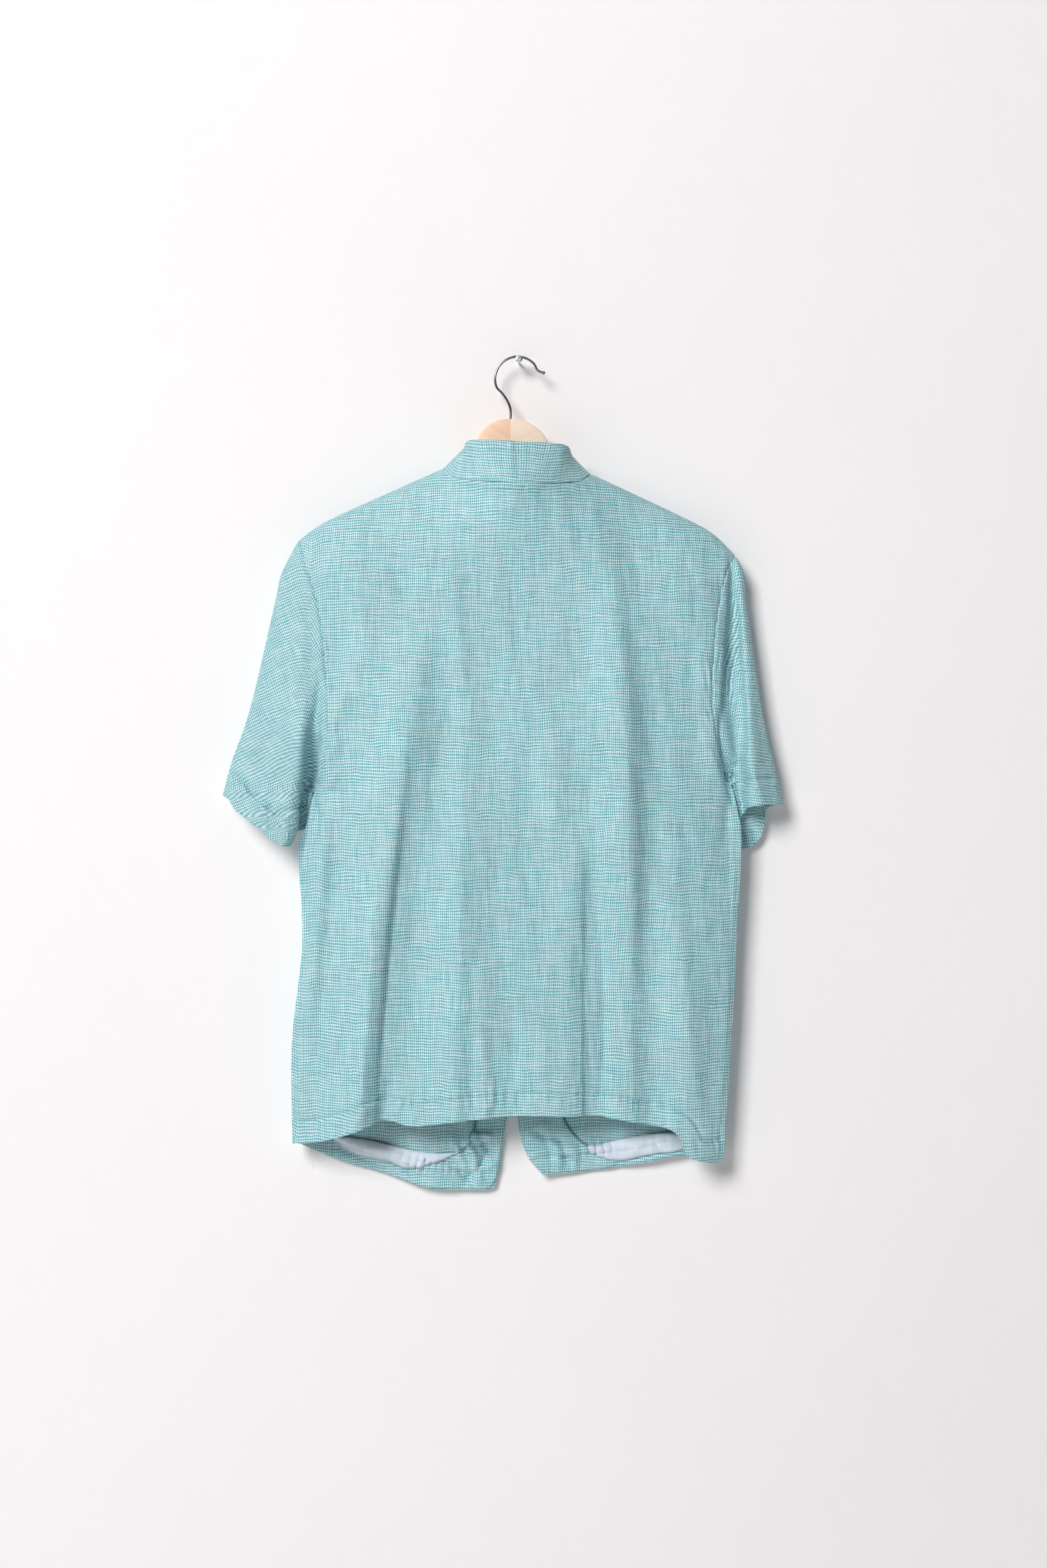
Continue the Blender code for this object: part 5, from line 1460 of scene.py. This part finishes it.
def make_nail(material):
    """The nail, its head with flat facets round a flat face."""
    rings = lathe(NAIL_PROFILE, 0.0, -NAIL_RADIUS - HOOK_CLEAR, NAIL_SIDES, NAIL_START)
    mesh = ring_mesh(rings)
    sharp = [edge for edge in mesh.edges if edge.calc_length() > NAIL_BEVEL_LEAST * MM]
    bmesh.ops.bevel(
        mesh, geom=sharp, offset=NAIL_BEVEL * MM, segments=1, affect="EDGES", clamp_overlap=True)
    data = finished_mesh("wall_nail", mesh)
    return add_piece("wall_nail", data, material, "nail", slot="nail_steel")


def front_depth(z):
    """How far out the fronts are behind the buttons."""
    return float(stands_out(np.array([BUTTON_X]), np.array([z]), FRONT)[0])


def make_buttons(material, thread):
    """Six buttons with a rim, a dished face, four holes' thread, and their buttonholes."""
    verts, faces, threads, radii = [], [], [], []
    half, steps = BUTTON_THICKNESS / 2, BUTTON_SIDES
    for number in range(BUTTON_COUNT):
        z = BUTTON_TOP_Z - BUTTON_STEP * number
        y = front_depth(z) + BUTTON_STAND_OFF + half
        profile = [(r, y + height) for r, height in BUTTON_PROFILE]
        rings = []
        for ring, (r, _) in zip(lathe(profile, BUTTON_X, z, steps), profile):
            ring = ring if r else ring[:1]
            rings.append(range(len(verts), len(verts) + len(ring)))
            verts.extend(ring)
        for one, two in zip(rings, rings[1:]):
            for i in range(steps):
                j = (i + 1) % steps
                face = [one[i % len(one)], one[j % len(one)], two[j % len(two)], two[i % len(two)]]
                faces.append([v for k, v in enumerate(face) if v != face[k - 1]])
        top = y + half - BUTTON_DISH
        for x in (BUTTON_X - BUTTON_HOLE_X, BUTTON_X + BUTTON_HOLE_X):
            threads.append([
                (x, y - 0.3, z - 1.3), (x, top + 0.15, z - 1.0), (x, top + 0.5, z),
                (x, top + 0.15, z + 1.0), (x, y - 0.3, z + 1.3),
            ])
            radii.append([BUTTON_THREAD_RADIUS] * 5)
        for side in (-1, 1):
            for height in np.arange(*BUTTONHOLE):
                here = front_depth(z + height)
                threads.append([
                    (BUTTON_X + x * side, here + lift, z + height) for x, lift in BUTTONHOLE_STITCH
                ])
                radii.append([BUTTONHOLE_RADIUS] * 3)
    data = new_mesh("shirt_buttons", verts, faces, sharp=40)
    nodes = [f"button_{number + 1}" for number in range(BUTTON_COUNT)]
    add_piece("shirt_buttons", data, material, *nodes, slot="button")
    add_threads("button_threads", threads, radii, thread)


# ---- Stage, light and camera

def wall_material():
    n = Nodes("painted_wall")
    place = n.place()
    colour = n.ramp(n.noise(place, 1.4, 3.0), (0.3, WALL_DARK), (0.7, WALL_LIGHT))
    normal = n.bump(n.noise(place, 26.0, 4.0), 0.25, 0.002)
    material = n.finish(colour, 0.75, n.bump(n.noise(place, 420.0), 0.15, 0.0004, normal))
    # From behind, the wall lets the shirt's fronts be seen.
    behind = n.node("ShaderNodeNewGeometry").outputs["Backfacing"]
    clear = n.node("ShaderNodeBsdfTransparent").outputs[0]
    both = n.node("ShaderNodeMixShader", {0: behind, 1: n.shader.outputs[0], 2: clear})
    n.put(n.tree.nodes["Material Output"].inputs["Surface"], both.outputs[0])
    return material


def floor_material():
    n = Nodes("pale_floor")
    colour = n.ramp(n.noise(n.place(), 3.0, 4.0), (0.3, FLOOR_DARK), (0.7, FLOOR_LIGHT))
    return n.finish(colour, 0.6, n.bump(n.noise(n.place(), 90.0), 0.1, 0.001))


def make_stage():
    def plane(name, corners, material):
        data = bpy.data.meshes.new(name)
        data.from_pydata(corners, [], [(0, 1, 2, 3)])
        data.materials.append(material)
        made = add_object(name, data)
        return made

    y, z, half = WALL_Y, FLOOR_Z, ROOM_HALF
    corners = [(-half, y, z), (half, y, z), (half, y, ROOM_TOP), (-half, y, ROOM_TOP)]
    plane("wall", corners, wall_material()).visible_shadow = False
    corners = [(-half, -half, z), (half, -half, z), (half, half, z), (-half, half, z)]
    plane("floor", corners, floor_material())


def make_light():
    world = bpy.data.worlds.new("studio")
    bpy.context.scene.world = world
    world.use_nodes = True
    tree = world.node_tree
    back = tree.nodes["Background"]
    back.inputs["Color"].default_value = WORLD_COLOUR
    # The room is lit in front of the wall, and dark behind it.
    way = tree.nodes.new("ShaderNodeSeparateXYZ")
    tree.links.new(tree.nodes.new("ShaderNodeTexCoord").outputs["Generated"], way.inputs[0])
    side = tree.nodes.new("ShaderNodeMapRange")
    tree.links.new(way.outputs["Y"], side.inputs["Value"])
    for key, value in zip(("From Min", "From Max", "To Min", "To Max"), WORLD_SPAN):
        side.inputs[key].default_value = value
    tree.links.new(side.outputs[0], back.inputs["Strength"])
    for name, place, size, energy, colour in LAMPS:
        data = bpy.data.lights.new(name, "AREA")
        data.size, data.energy, data.color = size, energy, colour
        lamp = add_object(name, data)
        lamp.location = place
        way = Vector(np.array(LAMP_AIM) - np.array(place))
        lamp.rotation_euler = way.to_track_quat("-Z", "Y").to_euler()


def make_camera():
    data = bpy.data.cameras.new("camera")
    data.lens, data.sensor_width, data.sensor_fit = 50.0, 36.0, "AUTO"
    camera = add_object("camera", data)
    camera.location = CAMERA_PLACE
    camera.rotation_euler = (math.radians(90), 0.0, 0.0)
    bpy.context.scene.camera = camera


def make_all():
    scene = bpy.context.scene
    scene.view_settings.view_transform = "Standard"
    scene.view_settings.look = "None"
    make_camera()
    make_stage()
    make_light()

    cloth, pale = check_material(), pale_material()
    teal_thread = thread_material("thread_teal", THREAD_TEAL)
    pale_thread = thread_material("thread_pale", THREAD_PALE)
    for half in HALVES:
        make_bar(half)
    # The hook's dark chrome colour is a painted reflection of a dark room.
    make_hook(metal_material("chrome_wire", *CHROME_PAINTED_REFLECTION))
    make_nail(metal_material("nail_steel", *STEEL))

    back, back_surface = make_back(cloth)
    fronts, surfaces = zip(*[make_front(half, cloth) for half in HALVES])
    sleeves, sleeve_surfaces = zip(*[make_sleeve(half, cloth) for half in HALVES])
    stand, stand_stitches = make_stand(cloth)
    facings, grids = zip(*[
        make_facing(half, cloth, surface) for half, surface in zip(HALVES, surfaces)
    ])
    for half, grid, surface in zip(HALVES, grids, surfaces):
        serge_facing(half, grid, surface, teal_thread)
    loose_threads(back_surface, pale_thread)
    strips = [
        make_strip(half, pale, pale_thread, surface) for half, surface in zip(HALVES, surfaces)
    ]

    hems = [(back_surface, HEM_BACK, HEM_TURN, HEM_STITCHED)]
    for half, surface in zip(HALVES, surfaces):
        hems.append((surface, half.hem, half.inward * HEM_TURN, half.hem_stitched))
    for half, surface in zip(HALVES, sleeve_surfaces):
        turn = half.inward * half.sleeve_turn
        hems.append((surface, half.sleeve_hem_back, turn, half.sleeve_stitched))
    rows = []
    for surface, hem, turn, span in hems:
        rows += stitch_row(*surface.at(hem_line(hem, turn, span)[:, :2]))
    rows += stand_stitches
    radii = [STITCH_RADIUS * np.array(STITCH_TAPER)] * len(rows)
    add_threads("hem_stitches", rows, radii, pale_thread)
    make_buttons(button_material(), teal_thread)


make_all()
